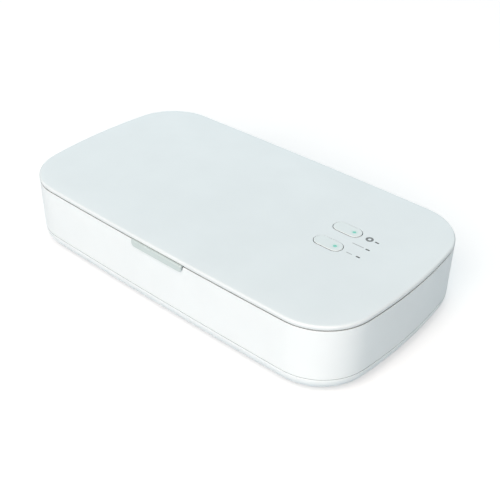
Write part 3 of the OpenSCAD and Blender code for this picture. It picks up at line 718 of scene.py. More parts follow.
def button_plastic_painted_glow(name, value, glow, dot):
    """Button plastic with a painted glow: a pale mint tint in its colour, standing for the light
    under it, fades with distance from the dot.
    """
    near, far, strongest_glow = 0.6 * MM, 2.8 * MM, 0.55
    glow_tint = [0.35 + 0.65 * c for c in glow]
    material = moulded(name, value, 0.34, darkest_painted_shade=0.06)
    tree = material.node_tree
    shader = next(n for n in tree.nodes if n.type == "BSDF_PRINCIPLED")
    plain = shader.inputs["Base Color"].links[0].from_socket
    where = tree.nodes.new("ShaderNodeTexCoord")
    gap = tree.nodes.new("ShaderNodeVectorMath")
    gap.operation = "DISTANCE"
    gap.inputs[1].default_value = dot
    tree.links.new(where.outputs["Object"], gap.inputs[0])
    # Painted glow: strongest next to the dot and gone at the far distance.
    fade = mapped(tree, gap.outputs["Value"], near, far, strongest_glow, 0)
    fade.interpolation_type = "SMOOTHERSTEP"
    blend = tree.nodes.new("ShaderNodeMix")
    blend.data_type = "RGBA"
    tree.links.new(fade.outputs["Result"], blend.inputs["Factor"])
    tree.links.new(plain, blend.inputs["A"])
    blend.inputs["B"].default_value = (*glow_tint, 1)
    tree.links.new(blend.outputs["Result"], shader.inputs["Base Color"])
    return material


def make_materials(f):
    """All finishes by name."""
    return {
        # The last number of each plastic sets how dark its painted shade in narrow gaps becomes.
        "shell": moulded("shell_plastic", f.shell, 0.32, darkest_painted_shade=0.2),
        "cover": moulded("cover_plastic", f.shell, 0.32, darkest_painted_shade=0.5),
        # The lid's colour is darker than the shell's: painted shade for its top.
        "lid": moulded("lid_plastic", f.lid, 0.34, darkest_painted_shade=0.05),
        "inside": moulded("inner_plastic", f.inside, 0.42, depth=0.006 * MM),
        # The tab's darker, greener colour is painted shade on its face.
        "tab": moulded("tab_plastic", f.tab, 0.36, darkest_painted_shade=0.09),
        "dark": moulded("smoked_window", f.dark, 0.18, depth=0.001 * MM, variation=0.8),
        "ink": moulded("printed_ink", (0.16, 0.175, 0.18), 0.5, variation=0.85),
        "pale_ink": moulded("pale_printed_ink", (0.42, 0.45, 0.46), 0.5, variation=0.9),
        "green_lens": glowing("green_lens", f.glow, 0.25),
        "small_lens": glowing("light_lens", (0.55, 0.75, 0.6), 0.0),
        "liner": metal("bright_liner", f.liner, 0.28, (0.06, 1, 1), 0.6 * MM, 0.0012 * MM),
        "steel": metal("bright_steel", (0.72, 0.72, 0.71), 0.22),
        "zinc": metal("zinc_plate", (0.62, 0.62, 0.60), 0.36),
        "nickel": metal("magnet_nickel", (0.66, 0.65, 0.62), 0.25),
        "gold": metal("contact_gold", (0.83, 0.62, 0.28), 0.25),
        "can": metal("capacitor_can", (0.55, 0.56, 0.58), 0.35),
        "rubber": rubber("foot_rubber", f.rubber),
        "quartz": quartz("lamp_quartz"),
        "ceramic": moulded("lamp_ceramic", (0.78, 0.76, 0.70), 0.45, 0.2 * MM, 0.01 * MM),
        "board": circuit_board("circuit_board"),
        "black": moulded("black_plastic", (0.03, 0.03, 0.032), 0.4, variation=0.8),
        "tape": moulded("yellow_tape", (0.75, 0.52, 0.08), 0.35),
    }


# ---------------------------------------------------------------- what the operators share

made = {}

KNUCKLE_R = 2.5 * MM
KNUCKLE_CLEAR = 0.4 * MM
LID_KNUCKLE_L = 12 * MM
BASE_KNUCKLE_L = 8 * MM
_, HINGE_Y, HINGE_Z = centre(PINS_LOW, PINS_HIGH)
HINGE_X = PINS_HIGH.x - LID_KNUCKLE_L / 2 - KNUCKLE_CLEAR - BASE_KNUCKLE_L
HINGE_HALF = LID_KNUCKLE_L / 2 + 2 * KNUCKLE_CLEAR + BASE_KNUCKLE_L
OPEN_ANGLE = math.radians(100)
TAB_CLEAR = 0.3 * MM
TAB_TONGUE = 1.2 * MM
DECK_UNDER = DECK_HIGH.z - 2 * MM
POST_R = 3.2 * MM
POST_IN = 9.5 * MM
POST_FOOT = SEAM_Z + 2 * MM
FOOT_IN = 19 * MM
FLARE_ANGLES = np.radians([20, 40, 60, 80])


def finish(name):
    """A finish by its name. All of them are made at the first call."""
    if not made:
        made.update(make_materials(bpy.context.scene.box_finishes))
    return made[name]


def four(place, z, shape):
    """The shape at the four corners of a rectangle, whose right rear corner is the place."""
    x, y = place
    return [placed(shape, (sx * x, sy * y, z)) for sx in SIDES for sy in SIDES]


def at_base_knuckles(shape):
    """The shape at the middle of each of the base's four knuckles."""
    out = LID_KNUCKLE_L / 2 + KNUCKLE_CLEAR + BASE_KNUCKLE_L / 2
    return [placed(shape, (side * HINGE_X + end * out, HINGE_Y, HINGE_Z))
            for side in SIDES for end in SIDES]


def hinge_notches(half, rear, z0, z1, edge):
    """Cutters that clear both hinges: half to each side, and rear behind the axis."""
    front = HINGE_Y - KNUCKLE_R - KNUCKLE_CLEAR
    return [round_box((side * HINGE_X - half, front, z0),
                      (side * HINGE_X + half, HINGE_Y + rear, z1), edge) for side in SIDES]


def tab_notch(y0, y1, z1):
    """A cutter that clears the thumb tab's tongue."""
    return round_box((TAB_LOW.x - TAB_CLEAR, y0, LID_Z - TAB_TONGUE - TAB_CLEAR),
                     (TAB_HIGH.x + TAB_CLEAR, y1, z1))


def flared_mouth(z, flare):
    """Start of a cutter's profile from below: it is wide by flare at z and narrows in a curve."""
    curve = zip(-flare * (1 - np.sin(FLARE_ANGLES)), z + flare * (1 - np.cos(FLARE_ANGLES)))
    return [(-flare, z - MM), (-flare, z - 0.005 * MM), *curve, (0, z + flare)]


class BOX_OT_lid_cover(bpy.types.Operator):
    """Lid: a thin, slightly crowned shell with button and window holes and the middle knuckles"""

    bl_idname = "sanitizer.lid_cover"
    bl_label = "Lid cover"

    INNER_LIP, OUTER_LIP = 0.15 * MM, 0.2 * MM
    BUTTON_EDGE, WINDOW_EDGE = 0.3 * MM, 0.06 * MM
    BORDER, FLAT = 0.5 * MM, 6 * MM

    def execute(self, context):
        s, c = context.scene.box_outline_sizes, context.scene.box_control_sizes
        outline = box_outline(s)
        z0, z1 = LID_Z, LID_HIGH.z
        ceiling = z1 - s.lid_wall
        edge_z = z1 - s.lid_crown
        r = s.lid_edge_radius
        outer = [(0, edge_z - r), *self.rounded(s, edge_z, r), *self.crowned(s, edge_z, r)]
        inner = self.crowned(s, edge_z - s.lid_wall, s.lid_wall)[::-1]
        lower = fillet([inner[-1], (s.lid_wall, z0, self.INNER_LIP), (0, z0, self.OUTER_LIP),
                        outer[0]])
        deep = s.lid_edge_in + self.FLAT
        profile = [(deep, ceiling), *inner[:-1], *lower, *outer[1:],
                   (s.lid_edge_in + self.BORDER, z1), (deep, z1)]
        button = pill(c.button_l + 2 * c.button_gap, c.button_w + 2 * c.button_gap, 32)
        window = pill(c.window_l, c.window_w, 12)
        holes = [(shape, (x, c.panel_y + row * c.row_pitch), hole_path(ceiling, z1, edge))
                 for shape, x, rows, edge in ((button, c.button_x, SIDES, self.BUTTON_EDGE),
                                              (window, c.window_x, ROWS, self.WINDOW_EDGE))
                 for row in rows]
        half = BASE_KNUCKLE_L / 2 + KNUCKLE_CLEAR
        cut = rod_x(-half, half, KNUCKLE_R + KNUCKLE_CLEAR, 0.02 * MM)
        parts = [carved(drilled(outline, profile, holes), at_base_knuckles(cut))]
        half = LID_KNUCKLE_L / 2
        for x in (-HINGE_X, HINGE_X):
            parts.append(placed(rod_x(-half, half, KNUCKLE_R), (x, HINGE_Y, HINGE_Z)))
            parts.append(round_box((x - half, HINGE_Y - 0.9 * KNUCKLE_R, HINGE_Z),
                                   (x + half, HINGE_Y - 0.1 * KNUCKLE_R, (z0 + edge_z) / 2)))
        piece("lid_cover", parts, finish("lid"), "lid", "lid_shell")
        return {"FINISHED"}

    @staticmethod
    def crown(s, inset):
        """Rise of the lid's top above its edge: a parabola of the inset, level at lid_edge_in."""
        return s.lid_crown * (1 - (1 - inset / s.lid_edge_in) ** 2)

    def rounded(self, s, z, r, steps=10):
        """Profile of the rounded upper edge: a quarter circle of radius r, lifted by the crown."""
        a = np.radians(90 * np.arange(1, steps) / steps)
        inset = r * (1 - np.cos(a))
        return list(zip(inset, z - r * (1 - np.sin(a)) + self.crown(s, inset)))

    def crowned(self, s, z, start, steps=24):
        """Profile of the crowned top above z, from an inset to where the top becomes flat."""
        inset = np.linspace(start, s.lid_edge_in, steps)
        return list(zip(inset, z + self.crown(s, inset)))


class BOX_OT_base_wall(bpy.types.Operator):
    """Base shell: the wall with its notches and inlet hole, knuckles, stop ribs and screw posts"""

    bl_idname = "sanitizer.base_wall"
    bl_label = "Base wall"

    LEDGE = 2 * MM
    POST_WALL, POST_L = 1.2 * MM, 12.6 * MM
    RIB_X, RIB_HALF, RIB_T = 38 * MM, 5 * MM, 2 * MM
    RIB_CLEAR, RIB_REACH = 0.02 * MM, 0.2 * MM
    NOTCH_ABOVE = 5 * MM

    def execute(self, context):
        s = context.scene.box_outline_sizes
        outline = box_outline(s)
        step_z = RIM_Z - s.rim_step
        small = 0.6 * s.soft_edge
        wall = stack(outline, fillet([
            (s.wall, SEAM_Z, FINE), (0, SEAM_Z, small), (0, step_z, small), (s.rim_in, step_z),
            (s.rim_in, RIM_Z, FINE), (s.wall, RIM_Z, s.soft_edge)], closed=True), closed=True)
        above = RIM_Z + self.NOTCH_ABOVE
        front = -outline.side_y(0)
        tools = hinge_notches(LID_KNUCKLE_L / 2 + KNUCKLE_CLEAR, 3 * KNUCKLE_R,
                              HINGE_Z - KNUCKLE_R - KNUCKLE_CLEAR, above, 0.2 * MM)
        tools += [tab_notch(front - 2 * MM, front + 6 * MM, above), self.inlet_hole(outline)]
        parts = [bevelled(carved(wall, tools), 0.12 * MM, 50, 1)]
        parts.append(band(outline, s.wall / 2, s.wall + self.LEDGE, DECK_UNDER - self.LEDGE,
                          DECK_UNDER))
        parts += at_base_knuckles(rod_x(-BASE_KNUCKLE_L / 2, BASE_KNUCKLE_L / 2, KNUCKLE_R))
        parts += [self.stop_rib(side * self.RIB_X, s, outline) for side in SIDES]
        post = band(disc(POST_R), 0, self.POST_WALL, 0, self.POST_L)
        parts += four(outline.corner(POST_IN), POST_FOOT, post)
        piece("base_wall", parts, finish("shell"), "base", "base_shell")
        return {"FINISHED"}

    @staticmethod
    def inlet_hole(outline):
        """A cutter for the power inlet: a slot from inside that flares at the outer face."""
        clear, flare = 0.4 * MM, 0.3 * MM
        x, _, z = centre(INLET_LOW, INLET_HIGH)
        slot = pill(INLET_HIGH.x - INLET_LOW.x + clear, INLET_HIGH.z - INLET_LOW.z + clear, 24)
        curve = zip(-flare * (1 - np.cos(FLARE_ANGLES)), -flare + flare * np.sin(FLARE_ANGLES))
        plug = stack(slot, [(0, -5 * MM), (0, -flare), *curve, (-flare, 0.01 * MM),
                            (-flare, 2 * MM)])
        return placed(plug, (x, outline.side_y(x), z), ALONG_Y)

    def stop_rib(self, x, s, outline):
        """The rib under the open lid's rear edge: its top is where that edge comes to rest."""
        y = outline.side_y(x)
        dy, dz = y - HINGE_Y, LID_Z - HINGE_Z
        sine, cosine = math.sin(OPEN_ANGLE), math.cos(OPEN_ANGLE)
        top = HINGE_Z - dy * sine + dz * cosine - self.RIB_CLEAR
        reach = HINGE_Y + dy * cosine + dz * sine + self.RIB_REACH
        return round_box((x - self.RIB_HALF, y - s.wall / 2, top - self.RIB_T),
                         (x + self.RIB_HALF, reach, top), 0.25 * MM)


class BOX_OT_bottom_cover(bpy.types.Operator):
    """Bottom cover: a shallow tray with a round edge, foot recesses and screw wells"""

    bl_idname = "sanitizer.bottom_cover"
    bl_label = "Bottom cover"

    STEP = 0.38 * MM
    FLAT = 8 * MM
    SINK = 0.5 * MM
    WELL_R, WELL_DEPTH, WELL_FLARE = 2.6 * MM, 6.4 * MM, 0.3 * MM
    BORE_R, BORE_FROM, BORE_L = 1.5 * MM, 5 * MM, 20 * MM
    RECESS_R, RECESS_DEPTH, RECESS_FLARE = 6.15 * MM, 0.8 * MM, 0.15 * MM
    SPIGOT_GAP, SPIGOT_IN = 0.2 * MM, 1.6 * MM

    def execute(self, context):
        s = context.scene.box_outline_sizes
        outline = box_outline(s)
        z0, z1 = COVER_LOW.z, SEAM_Z
        floor = z0 + s.cover_wall
        deep = s.cover_edge + self.FLAT
        step_z = z1 - self.STEP
        shell = stack(outline, fillet([
            (deep, z0), (0, z0, s.cover_edge), (0, step_z, 0.12 * MM), (s.reveal, step_z),
            (s.reveal, z1), (s.cover_wall, z1),
            (s.cover_wall, floor, s.cover_edge - s.cover_wall), (deep, floor)], steps=16))
        posts, feet = outline.corner(POST_IN), outline.corner(FOOT_IN)
        boss = solid(disc(POST_R), 0, POST_FOOT - floor + self.SINK)
        shell = carved(shell, four(posts, floor - self.SINK, boss), "UNION")
        well = self.cutter(self.WELL_R, 48, self.WELL_DEPTH, self.WELL_FLARE)
        recess = self.cutter(self.RECESS_R, 64, self.RECESS_DEPTH, self.RECESS_FLARE)
        shell = carved(shell, four(posts, z0, well) + four(feet, z0, recess))
        bore = solid(disc(self.BORE_R), 0, self.BORE_L)
        shell = carved(shell, four(posts, z0 + self.BORE_FROM, bore))
        spigot = band(outline, s.wall + self.SPIGOT_GAP, s.wall + self.SPIGOT_IN, z1 - MM,
                      POST_FOOT, (0, 0, 0.3 * MM, 0.3 * MM))
        piece("floor_cover", [shell, spigot], finish("cover"), "base",
              "bottom_cover")
        return {"FINISHED"}

    @staticmethod
    def cutter(radius, steps, depth, flare):
        """A round cutter from below that starts wide by flare and runs straight to its depth."""
        return stack(disc(radius, steps), [*flared_mouth(0, flare), (0, depth)])


class BOX_OT_thumb_tab(bpy.types.Operator):
    """Thumb tab: a lip with round lower corners, on a tongue that passes under the lid frame"""

    bl_idname = "sanitizer.thumb_tab"
    bl_label = "Thumb tab"

    THICK = 1 * MM
    CORNER_R, UPPER_R = 1.8 * MM, 0.1 * MM
    BORDER = 0.8 * MM
    LAP, FOOT_L = 0.2 * MM, 3 * MM

    def execute(self, context):
        s = context.scene.box_outline_sizes
        tall = LID_Z - TAB_LOW.z
        x = centre(TAB_LOW, TAB_HIGH)[0]
        lip = self.lip(TAB_HIGH.x - TAB_LOW.x, tall)
        shape = stack(lip, fillet([(self.BORDER, 0), (0, 0, 0.15 * MM),
                                   (0, self.THICK, 0.3 * MM), (self.BORDER, self.THICK)]))
        face = placed(shape, (x, TAB_LOW.y + self.THICK, LID_Z - tall / 2), ALONG_MINUS_Y)
        root = -box_outline(s).side_y(0) + s.wall
        low = (TAB_LOW.x, TAB_LOW.y + self.THICK / 2, LID_Z - TAB_TONGUE)
        tongue = round_box(low, (TAB_HIGH.x, root + self.LAP, LID_Z), FINE)
        foot = round_box(low, (TAB_HIGH.x, root + self.FOOT_L, FRAME_LOW.z), FINE)
        piece("thumb_lip", [face, tongue, foot], finish("tab"), "lid", "thumb_tab")
        return {"FINISHED"}

    def lip(self, width, tall):
        """The lip's outline as a function of the inset: square above, with round corners below."""

        def at(inset):
            x, y = width / 2 - inset, tall / 2 - inset
            r, small = self.CORNER_R - inset, self.UPPER_R
            return np.vstack([
                arc(sx * (x - radius), sy * (y - radius), radius, quarter * math.pi / 2,
                    (quarter + 1) * math.pi / 2, steps)
                for quarter, (sx, sy, radius, steps) in enumerate((
                    (1, 1, small, 4), (-1, 1, small, 4), (-1, -1, r, 12), (1, -1, r, 12)))
            ])

        return at


class BOX_OT_buttons(bpy.types.Operator):
    """The two buttons: pill caps with a lit window each, over their flanges"""

    bl_idname = "sanitizer.buttons"
    bl_label = "Buttons"

    FLANGE_OUT, FLANGE_T = 1 * MM, 1 * MM
    TOP_R, TOP_BORDER, UNDER_BORDER = 0.3 * MM, 0.6 * MM, 2 * MM
    DOT_CLEAR, DOT_SUNK, DOT_RISE = 0.02 * MM, 0.12 * MM, 0.1 * MM

    def execute(self, context):
        c, colours = context.scene.box_control_sizes, context.scene.box_finishes
        low, high = CAP_LOW.z, CAP_HIGH.z
        flange, out = low + self.FLANGE_T, self.FLANGE_OUT
        dot_r, dot_x = (DOT_HIGH.x - DOT_LOW.x) / 2, centre(DOT_LOW, DOT_HIGH)[0]
        profile = fillet([(self.UNDER_BORDER, low), (-out, low, FINE), (-out, flange, FINE),
                          (0, flange), (0, high, self.TOP_R), (self.TOP_BORDER, high)])
        bore = (disc(dot_r + self.DOT_CLEAR, 32), (dot_x - c.button_x, 0),
                hole_path(low, high, FINE, 0.08 * MM))
        cap = drilled(pill(c.button_l, c.button_w, 32), profile, [bore])
        dome = [(dot_r * (1 - math.cos(a)), high - self.DOT_SUNK + self.DOT_RISE * math.sin(a))
                for a in np.radians([0, 30, 60, 80])]
        lens = stack(disc(dot_r, 32), [(0.5 * dot_r, DOT_LOW.z), (0, DOT_LOW.z), *dome])
        for name, row in (("button_1", 1), ("button_2", -1)):
            y = c.panel_y + row * c.row_pitch
            # Each button's colour carries a painted glow round its dot.
            plastic = button_plastic_painted_glow(f"{name}_plastic", colours.button, colours.glow,
                                     (dot_x, y, high))
            piece(f"{name}_top", [placed(cap, (c.button_x, y, 0))], plastic, name,
                  f"{name}_cap")
            piece(f"{name}_lens", [placed(lens, (dot_x, y, 0))], finish("green_lens"), name,
                  f"{name}_window")
        return {"FINISHED"}


class BOX_OT_lid_marks(bpy.types.Operator):
    """Indicator windows and the plain printed marks beside them: a ring and two short bars"""

    bl_idname = "sanitizer.lid_marks"
    bl_label = "Windows and printed marks"

    SUNK, LENS_BORDER = 0.03 * MM, 0.3 * MM
    LIP_OUT, LIP_T, LIP_BORDER = 0.5 * MM, 0.5 * MM, 0.6 * MM
    RING_LINE = 1.15 * MM
    # Each bar's left and right end from the windows' middle, and its place behind the middle row
    BARS = ((-8.9, -2.1, 0), (-6.6, -3.2, -8.3))
    BAR_W, BAR_BORDER = 0.55 * MM, 0.1 * MM

    def execute(self, context):
        s, c = context.scene.box_outline_sizes, context.scene.box_control_sizes
        top, ink = LID_HIGH.z, c.print_t
        ceiling, face = top - s.lid_wall, top - self.SUNK
        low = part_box("indicator_windows")[0].z
        lens = stack(pill(c.window_l, c.window_w, 12),
                     fillet([(self.LENS_BORDER, low), (0, low), (0, face, 0.08 * MM),
                             (self.LENS_BORDER, face)]))
        lip = plate(pill(c.window_l + 2 * self.LIP_OUT, c.window_w + 2 * self.LIP_OUT, 12),
                    ceiling - self.LIP_T, ceiling, self.LIP_BORDER)
        lenses = [placed(part, (c.window_x, c.panel_y + row * c.row_pitch, 0))
                  for row in ROWS for part in (lens, lip)]
        piece("indicator_lenses", lenses, finish("dark"), "lid",
              "indicator_windows")
        ring = band(disc(c.ring_r, 40), 0, self.RING_LINE, top, top + ink)
        piece("printed_ring", [placed(ring, (c.ring_x, c.panel_y + c.row_pitch, 0))],
              finish("ink"), "lid")
        bars = [placed(plate(pill((end - start) * MM, self.BAR_W, 8), top, top + ink,
                             self.BAR_BORDER),
                       (c.window_x + (start + end) / 2 * MM, c.panel_y + y * MM, 0))
                for start, end, y in self.BARS]
        piece("printed_bars", bars, finish("pale_ink"), "lid")
        return {"FINISHED"}


class BOX_OT_chamber(bpy.types.Operator):
    """Deck, bright tub and wire rack inside the base"""

    bl_idname = "sanitizer.chamber"
    bl_label = "Deck, tub and rack"

    TUB_IN, TUB_FLAT = 14 * MM, 9 * MM
    SHEET = 1.2 * MM
    TUB_R, TUB_INNER_R = 4 * MM, 3 * MM
    LAP = 0.2 * MM
    SCREW_R, SCREW_BELOW, SCREW_L = 2.7 * MM, 1.1 * MM, 3 * MM
    WIRES = 10

    def execute(self, context):
        outline = box_outline(context.scene.box_outline_sizes)
        self.deck(outline)
        self.tub(outline)
        piece("wire_rack", self.rack(), finish("steel"), "base",
              ("phone_rack", "rack_rails"))
        return {"FINISHED"}

    def deck(self, outline):
        """The deck: a flat band round the tub, cleared for the hinges, the tab and the screws."""
        above = DECK_HIGH.z + MM
        deck = band(outline, COVER_HIGH.x - DECK_HIGH.x, self.TUB_IN - self.LAP, DECK_UNDER,
                    DECK_HIGH.z, (0, 0, 0.3 * MM, 0))
        tools = hinge_notches(HINGE_HALF, 6 * MM, DECK_LOW.z - MM, above, 0.3 * MM)
        tools.append(tab_notch(-outline.side_y(0) - MM, TAB_HIGH.y + TAB_CLEAR, above))
        tools += four(outline.corner(POST_IN), FRAME_LOW.z - self.SCREW_BELOW,
                      solid(disc(self.SCREW_R), 0, self.SCREW_L))
        piece("top_deck", [bevelled(carved(deck, tools), 0.15 * MM, 50)], finish("inside"),
              "base", "top_frame")

    def tub(self, outline):
        """The tub: a floor and a wall of bright sheet, with a lip that lies on the deck."""
        deep, lip_in = self.TUB_IN + self.TUB_FLAT, COVER_HIGH.x - LINER_HIGH.x
        inner, low, high = self.TUB_IN + self.SHEET, LINER_LOW.z, LINER_HIGH.z
        tub = stack(outline, fillet([
            (deep, low), (self.TUB_IN, low, self.TUB_R), (self.TUB_IN, DECK_HIGH.z, FINE),
            (lip_in, DECK_HIGH.z, 0.2 * MM), (lip_in, high, 0.25 * MM), (inner, high, 0.5 * MM),
            (inner, low + self.SHEET, self.TUB_INNER_R), (deep, low + self.SHEET)], steps=8))
        piece("bright_tub", [tub], finish("liner"), "base", "chamber_liner")

    def rack(self):
        """Cross wires on two rails with four legs. Each wire is a round bar with round ends."""
        low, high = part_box("phone_rack")
        rail_low, rail_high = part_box("rack_rails")
        r = (high.z - low.z) / 2
        gap = rail_high.y - rail_low.y - 2 * r
        top, rail = high.z - r, rail_high.z - r + 0.1 * MM
        first = low.x + r
        step = -2 * first / (self.WIRES - 1)

        def bar(long):
            return stack(disc(r, 24), domed(-long / 2, long / 2, r, r, (15, 35, 60, 90)))

        parts = [placed(bar(high.y - low.y), (first + k * step, 0, top), ALONG_Y)
                 for k in range(self.WIRES)]
        parts += [placed(bar(rail_high.x - rail_low.x), (0, side * gap / 2, rail), ALONG_X)
                  for side in SIDES]
        legs = (-first - step / 2, gap / 2)
        return parts + four(legs, (rail + rail_low.z) / 2, bar(rail - rail_low.z))


class BOX_OT_lamps(bpy.types.Operator):
    """Germicidal lamps: quartz tubes with rounded ends and electrodes, in ceramic holders"""

    bl_idname = "sanitizer.lamps"
    bl_label = "Lamps"

    GLASS = 0.7 * MM
    DOME_ANGLES = (12, 30, 50, 70, 90)
    CUP_START, CUP_END = 3 * MM, 11 * MM

    def execute(self, context):
        for name, body in (("lower_lamp", "base"), ("upper_lamp", "lid")):
            low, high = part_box(name)
            _, y, z = centre(low, high)
            r, glass = (high.z - low.z) / 2, self.GLASS
            tube = self.capsule(low.x, high.x, r)
            verts, faces = self.capsule(low.x + 2 * glass, high.x - 2 * glass, r - glass)
            hollow = (verts, [face[::-1] for face in faces])
            parts = [placed(shape, (0, y, z), ALONG_X) for shape in (tube, hollow)]
            for x0, x1 in ((low.x + self.CUP_START, low.x + self.CUP_END),
                           (high.x - self.CUP_END, high.x - self.CUP_START)):
                parts.append(placed(rod_x(x0, x1, 0.55 * r, 0.2 * MM, 24), (0, y, z)))
            piece(f"{name}_tube", parts, [finish("quartz"), finish("nickel")], body,
                  name, material_of=[0, 0, 1, 1])
            holders = bevelled(cad_shape(f"{name}_holders"), 0.3 * MM, 45, 3)
            piece(f"{name}_sockets", [holders], finish("ceramic"), body,
                  f"{name}_holders")
        return {"FINISHED"}

    def capsule(self, x0, x1, r):
        """A round bar upright whose ends are domes of half its radius in depth."""
        return stack(disc(r, 40), domed(x0, x1, r, 0.5 * r, self.DOME_ANGLES))


class BOX_OT_lid_inside(bpy.types.Operator):
    """Lid frame and the bright lid liner with its lamp trough"""

    bl_idname = "sanitizer.lid_inside"
    bl_label = "Inside of the lid"

    FRAME_LAP = 3 * MM
    SHEET = 0.5 * MM
    EDGE = 0.2 * MM
    BUMPER_R, BUMPER_IN, BUMPERS = 3.05 * MM, 9.5 * MM, (-70 * MM, 46 * MM, 70 * MM)
    TRAY_FLAT, TRAY_R, TRAY_INNER_R = 9 * MM, 2.4 * MM, 1.2 * MM
    TROUGH_LONGER, TROUGH_WIDER, TROUGH_R = 4 * MM, 5 * MM, 1.2 * MM
    BLOCK_R, BLOCK_EDGE = 2 * MM, 0.3 * MM

    def execute(self, context):
        outline = box_outline(context.scene.box_outline_sizes)
        edge = COVER_HIGH.x - TRAY_HIGH.x + self.FRAME_LAP
        self.frame(outline, edge)
        self.tray(outline, edge)
        return {"FINISHED"}

    def frame(self, outline, edge):
        """The lid frame: a band round the liner, cleared for the hinges and the bumpers."""
        low, high = FRAME_LOW.z, FRAME_HIGH.z
        ring = band(outline, COVER_HIGH.x - FRAME_HIGH.x, edge - 0.2 * MM, low, high,
                    (self.EDGE, self.EDGE, 0, 0))
        tools = hinge_notches(HINGE_HALF, 6 * MM, low - MM, high + MM, 0.3 * MM)
        seat = solid(disc(self.BUMPER_R), 0, 3 * MM)
        tools += [placed(seat, (x, -outline.side_y(x, self.BUMPER_IN), low - MM))
                  for x in self.BUMPERS]
        piece("lid_ring_frame", [carved(ring, tools)], finish("inside"), "lid",
              "lid_frame")

    def tray(self, outline, edge):
        """The lid liner: a shallow tray of bright sheet with a trough for the lamp."""
        low, flange, sheet = TRAY_LOW.z, FRAME_HIGH.z, self.SHEET
        deep, rim = edge + self.TRAY_FLAT, edge - self.FRAME_LAP
        tray = stack(outline, fillet([
            (deep, low), (edge, low, self.TRAY_R), (edge, flange, FINE), (rim, flange),
            (rim, flange + sheet), (edge + sheet, flange + sheet, FINE),
            (edge + sheet, low + sheet, self.TRAY_INNER_R), (deep, low + sheet)], steps=8))
        lamp_low, lamp_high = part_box("upper_lamp")
        place = (centre(lamp_low, lamp_high)[0], 0, 0)
        long = lamp_high.x - lamp_low.x + self.TROUGH_LONGER
        wide = lamp_high.y - lamp_low.y + self.TROUGH_WIDER
        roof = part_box("upper_lamp_holders")[1].z
        block = solid(round_rect(long + 2 * sheet, wide + 2 * sheet, self.BLOCK_R),
                      low + 0.01 * MM, roof + sheet, self.BLOCK_EDGE)
        tray = carved(tray, [placed(block, place)], "UNION")
        ceiling = fillet([(0, low + MM), (0, roof, 0.8 * MM), (3 * MM, roof)])
        hollow = stack(round_rect(long, wide, self.TROUGH_R),
                       flared_mouth(low, 0.5 * MM) + ceiling)
        tray = carved(tray, [placed(hollow, place)])
        piece("bright_lid_tray", [tray], finish("liner"), "lid", "lid_liner")


class BOX_OT_feet_and_inlet(bpy.types.Operator):
    """Rubber feet and bumpers, screws, hinge pins and the power inlet"""

    bl_idname = "sanitizer.feet_and_inlet"
    bl_label = "Feet, bumpers, screws and inlet"

    # Each part as it was constructed: its finish, its slot and the bevel of its edges
    BEVELLED = (
        ("lid_bumpers", "rubber", "foot_rubber", 0.25 * MM),
        ("hinge_pins", "steel", "zinc_steel", 0.1 * MM),
        ("cover_screws", "zinc", "zinc_steel", 0.12 * MM),
        ("lid_screws", "zinc", "zinc_steel", 0.1 * MM),
    )
    FOOT_R, FOOT_HOLLOW, FOOT_RIM = 6 * MM, 0.25 * MM, (3.6 * MM, 4.2 * MM)
    SHEET, SHELL_BORDER = 0.3 * MM, 1.2 * MM
    CONTACTS, CONTACT_PITCH, CONTACT_HALF = range(-5, 6), 0.5 * MM, 0.15 * MM

    def execute(self, context):
        outline = box_outline(context.scene.box_outline_sizes)
        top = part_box("rubber_feet")[1].z
        rim_end, rim_start = self.FOOT_RIM
        foot = stack(disc(self.FOOT_R, 64), fillet([
            (rim_start, self.FOOT_HOLLOW), (rim_end, 0, 0.3 * MM), (0, 0, 0.45 * MM), (0, top),
            (2 * MM, top)]))
        piece("round_feet", four(outline.corner(FOOT_IN), 0, foot), finish("rubber"), "base",
              "rubber_feet")
        for node, material, slot, width in self.BEVELLED:
            body = frame["nodes"][node]["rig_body"]
            shape = bevelled(cad_shape(node), width, 45)
            piece(f"{node}_finished", [shape], finish(material), body, node)
        self.inlet()
        return {"FINISHED"}

    def inlet(self):
        """The power inlet: a deep-drawn oval shell and a blade with a row of gilt contacts."""
        x, _, z = centre(INLET_LOW, INLET_HIGH)
        deep = INLET_HIGH.y - INLET_LOW.y
        floor = -deep + 1.5 * self.SHEET
        oval = pill(INLET_HIGH.x - INLET_LOW.x, INLET_HIGH.z - INLET_LOW.z, 24)
        shell = stack(oval, fillet([
            (self.SHELL_BORDER, -deep), (0, -deep, 0.2 * MM), (0, 0, 0.12 * MM),
            (self.SHEET, 0, 0.12 * MM), (self.SHEET, floor), (self.SHELL_BORDER, floor)]))
        piece("inlet_shell", [placed(shell, (x, INLET_HIGH.y, z), ALONG_Y)], finish("steel"),
              "base", "power_inlet")
        low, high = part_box("inlet_tongue")
        half = self.CONTACT_HALF
        contacts = [round_box((x + k * self.CONTACT_PITCH - half, low.y + MM, high.z - 0.05 * MM),
                              (x + k * self.CONTACT_PITCH + half, high.y - 0.3 * MM,
                               high.z + 0.03 * MM), 0.02 * MM) for k in self.CONTACTS]
        piece("inlet_blade", [round_box(low, high, 0.12 * MM), *contacts],
              [finish("black"), finish("gold")], "base", "inlet_tongue",
              material_of=[0] + [1] * len(contacts))


class BOX_OT_inner_parts(bpy.types.Operator):
    """Finishes of the boards, lights, magnets and switches that stay as they were constructed"""

    bl_idname = "sanitizer.inner_parts"
    bl_label = "Inner parts"

    FINISHES = {
        "board": ("main_board", "inlet_board", "control_board"),
        "tape": ("driver_transformer",),
        "can": ("board_capacitors",),
        "black": ("board_chips", "lid_sensor", "switch_bodies", "button_1_plunger",
                  "button_2_plunger"),
        "zinc": ("board_screws", "control_screws"),
        "nickel": ("base_magnets", "lid_magnets"),
        "small_lens": ("indicator_lights",),
    }

    def execute(self, context):
        for name, nodes in self.FINISHES.items():
            for node in nodes:
                mesh = frame["nodes"][node].data
                mesh.materials.clear()
                mesh.materials.append(finish(name))
        return {"FINISHED"}


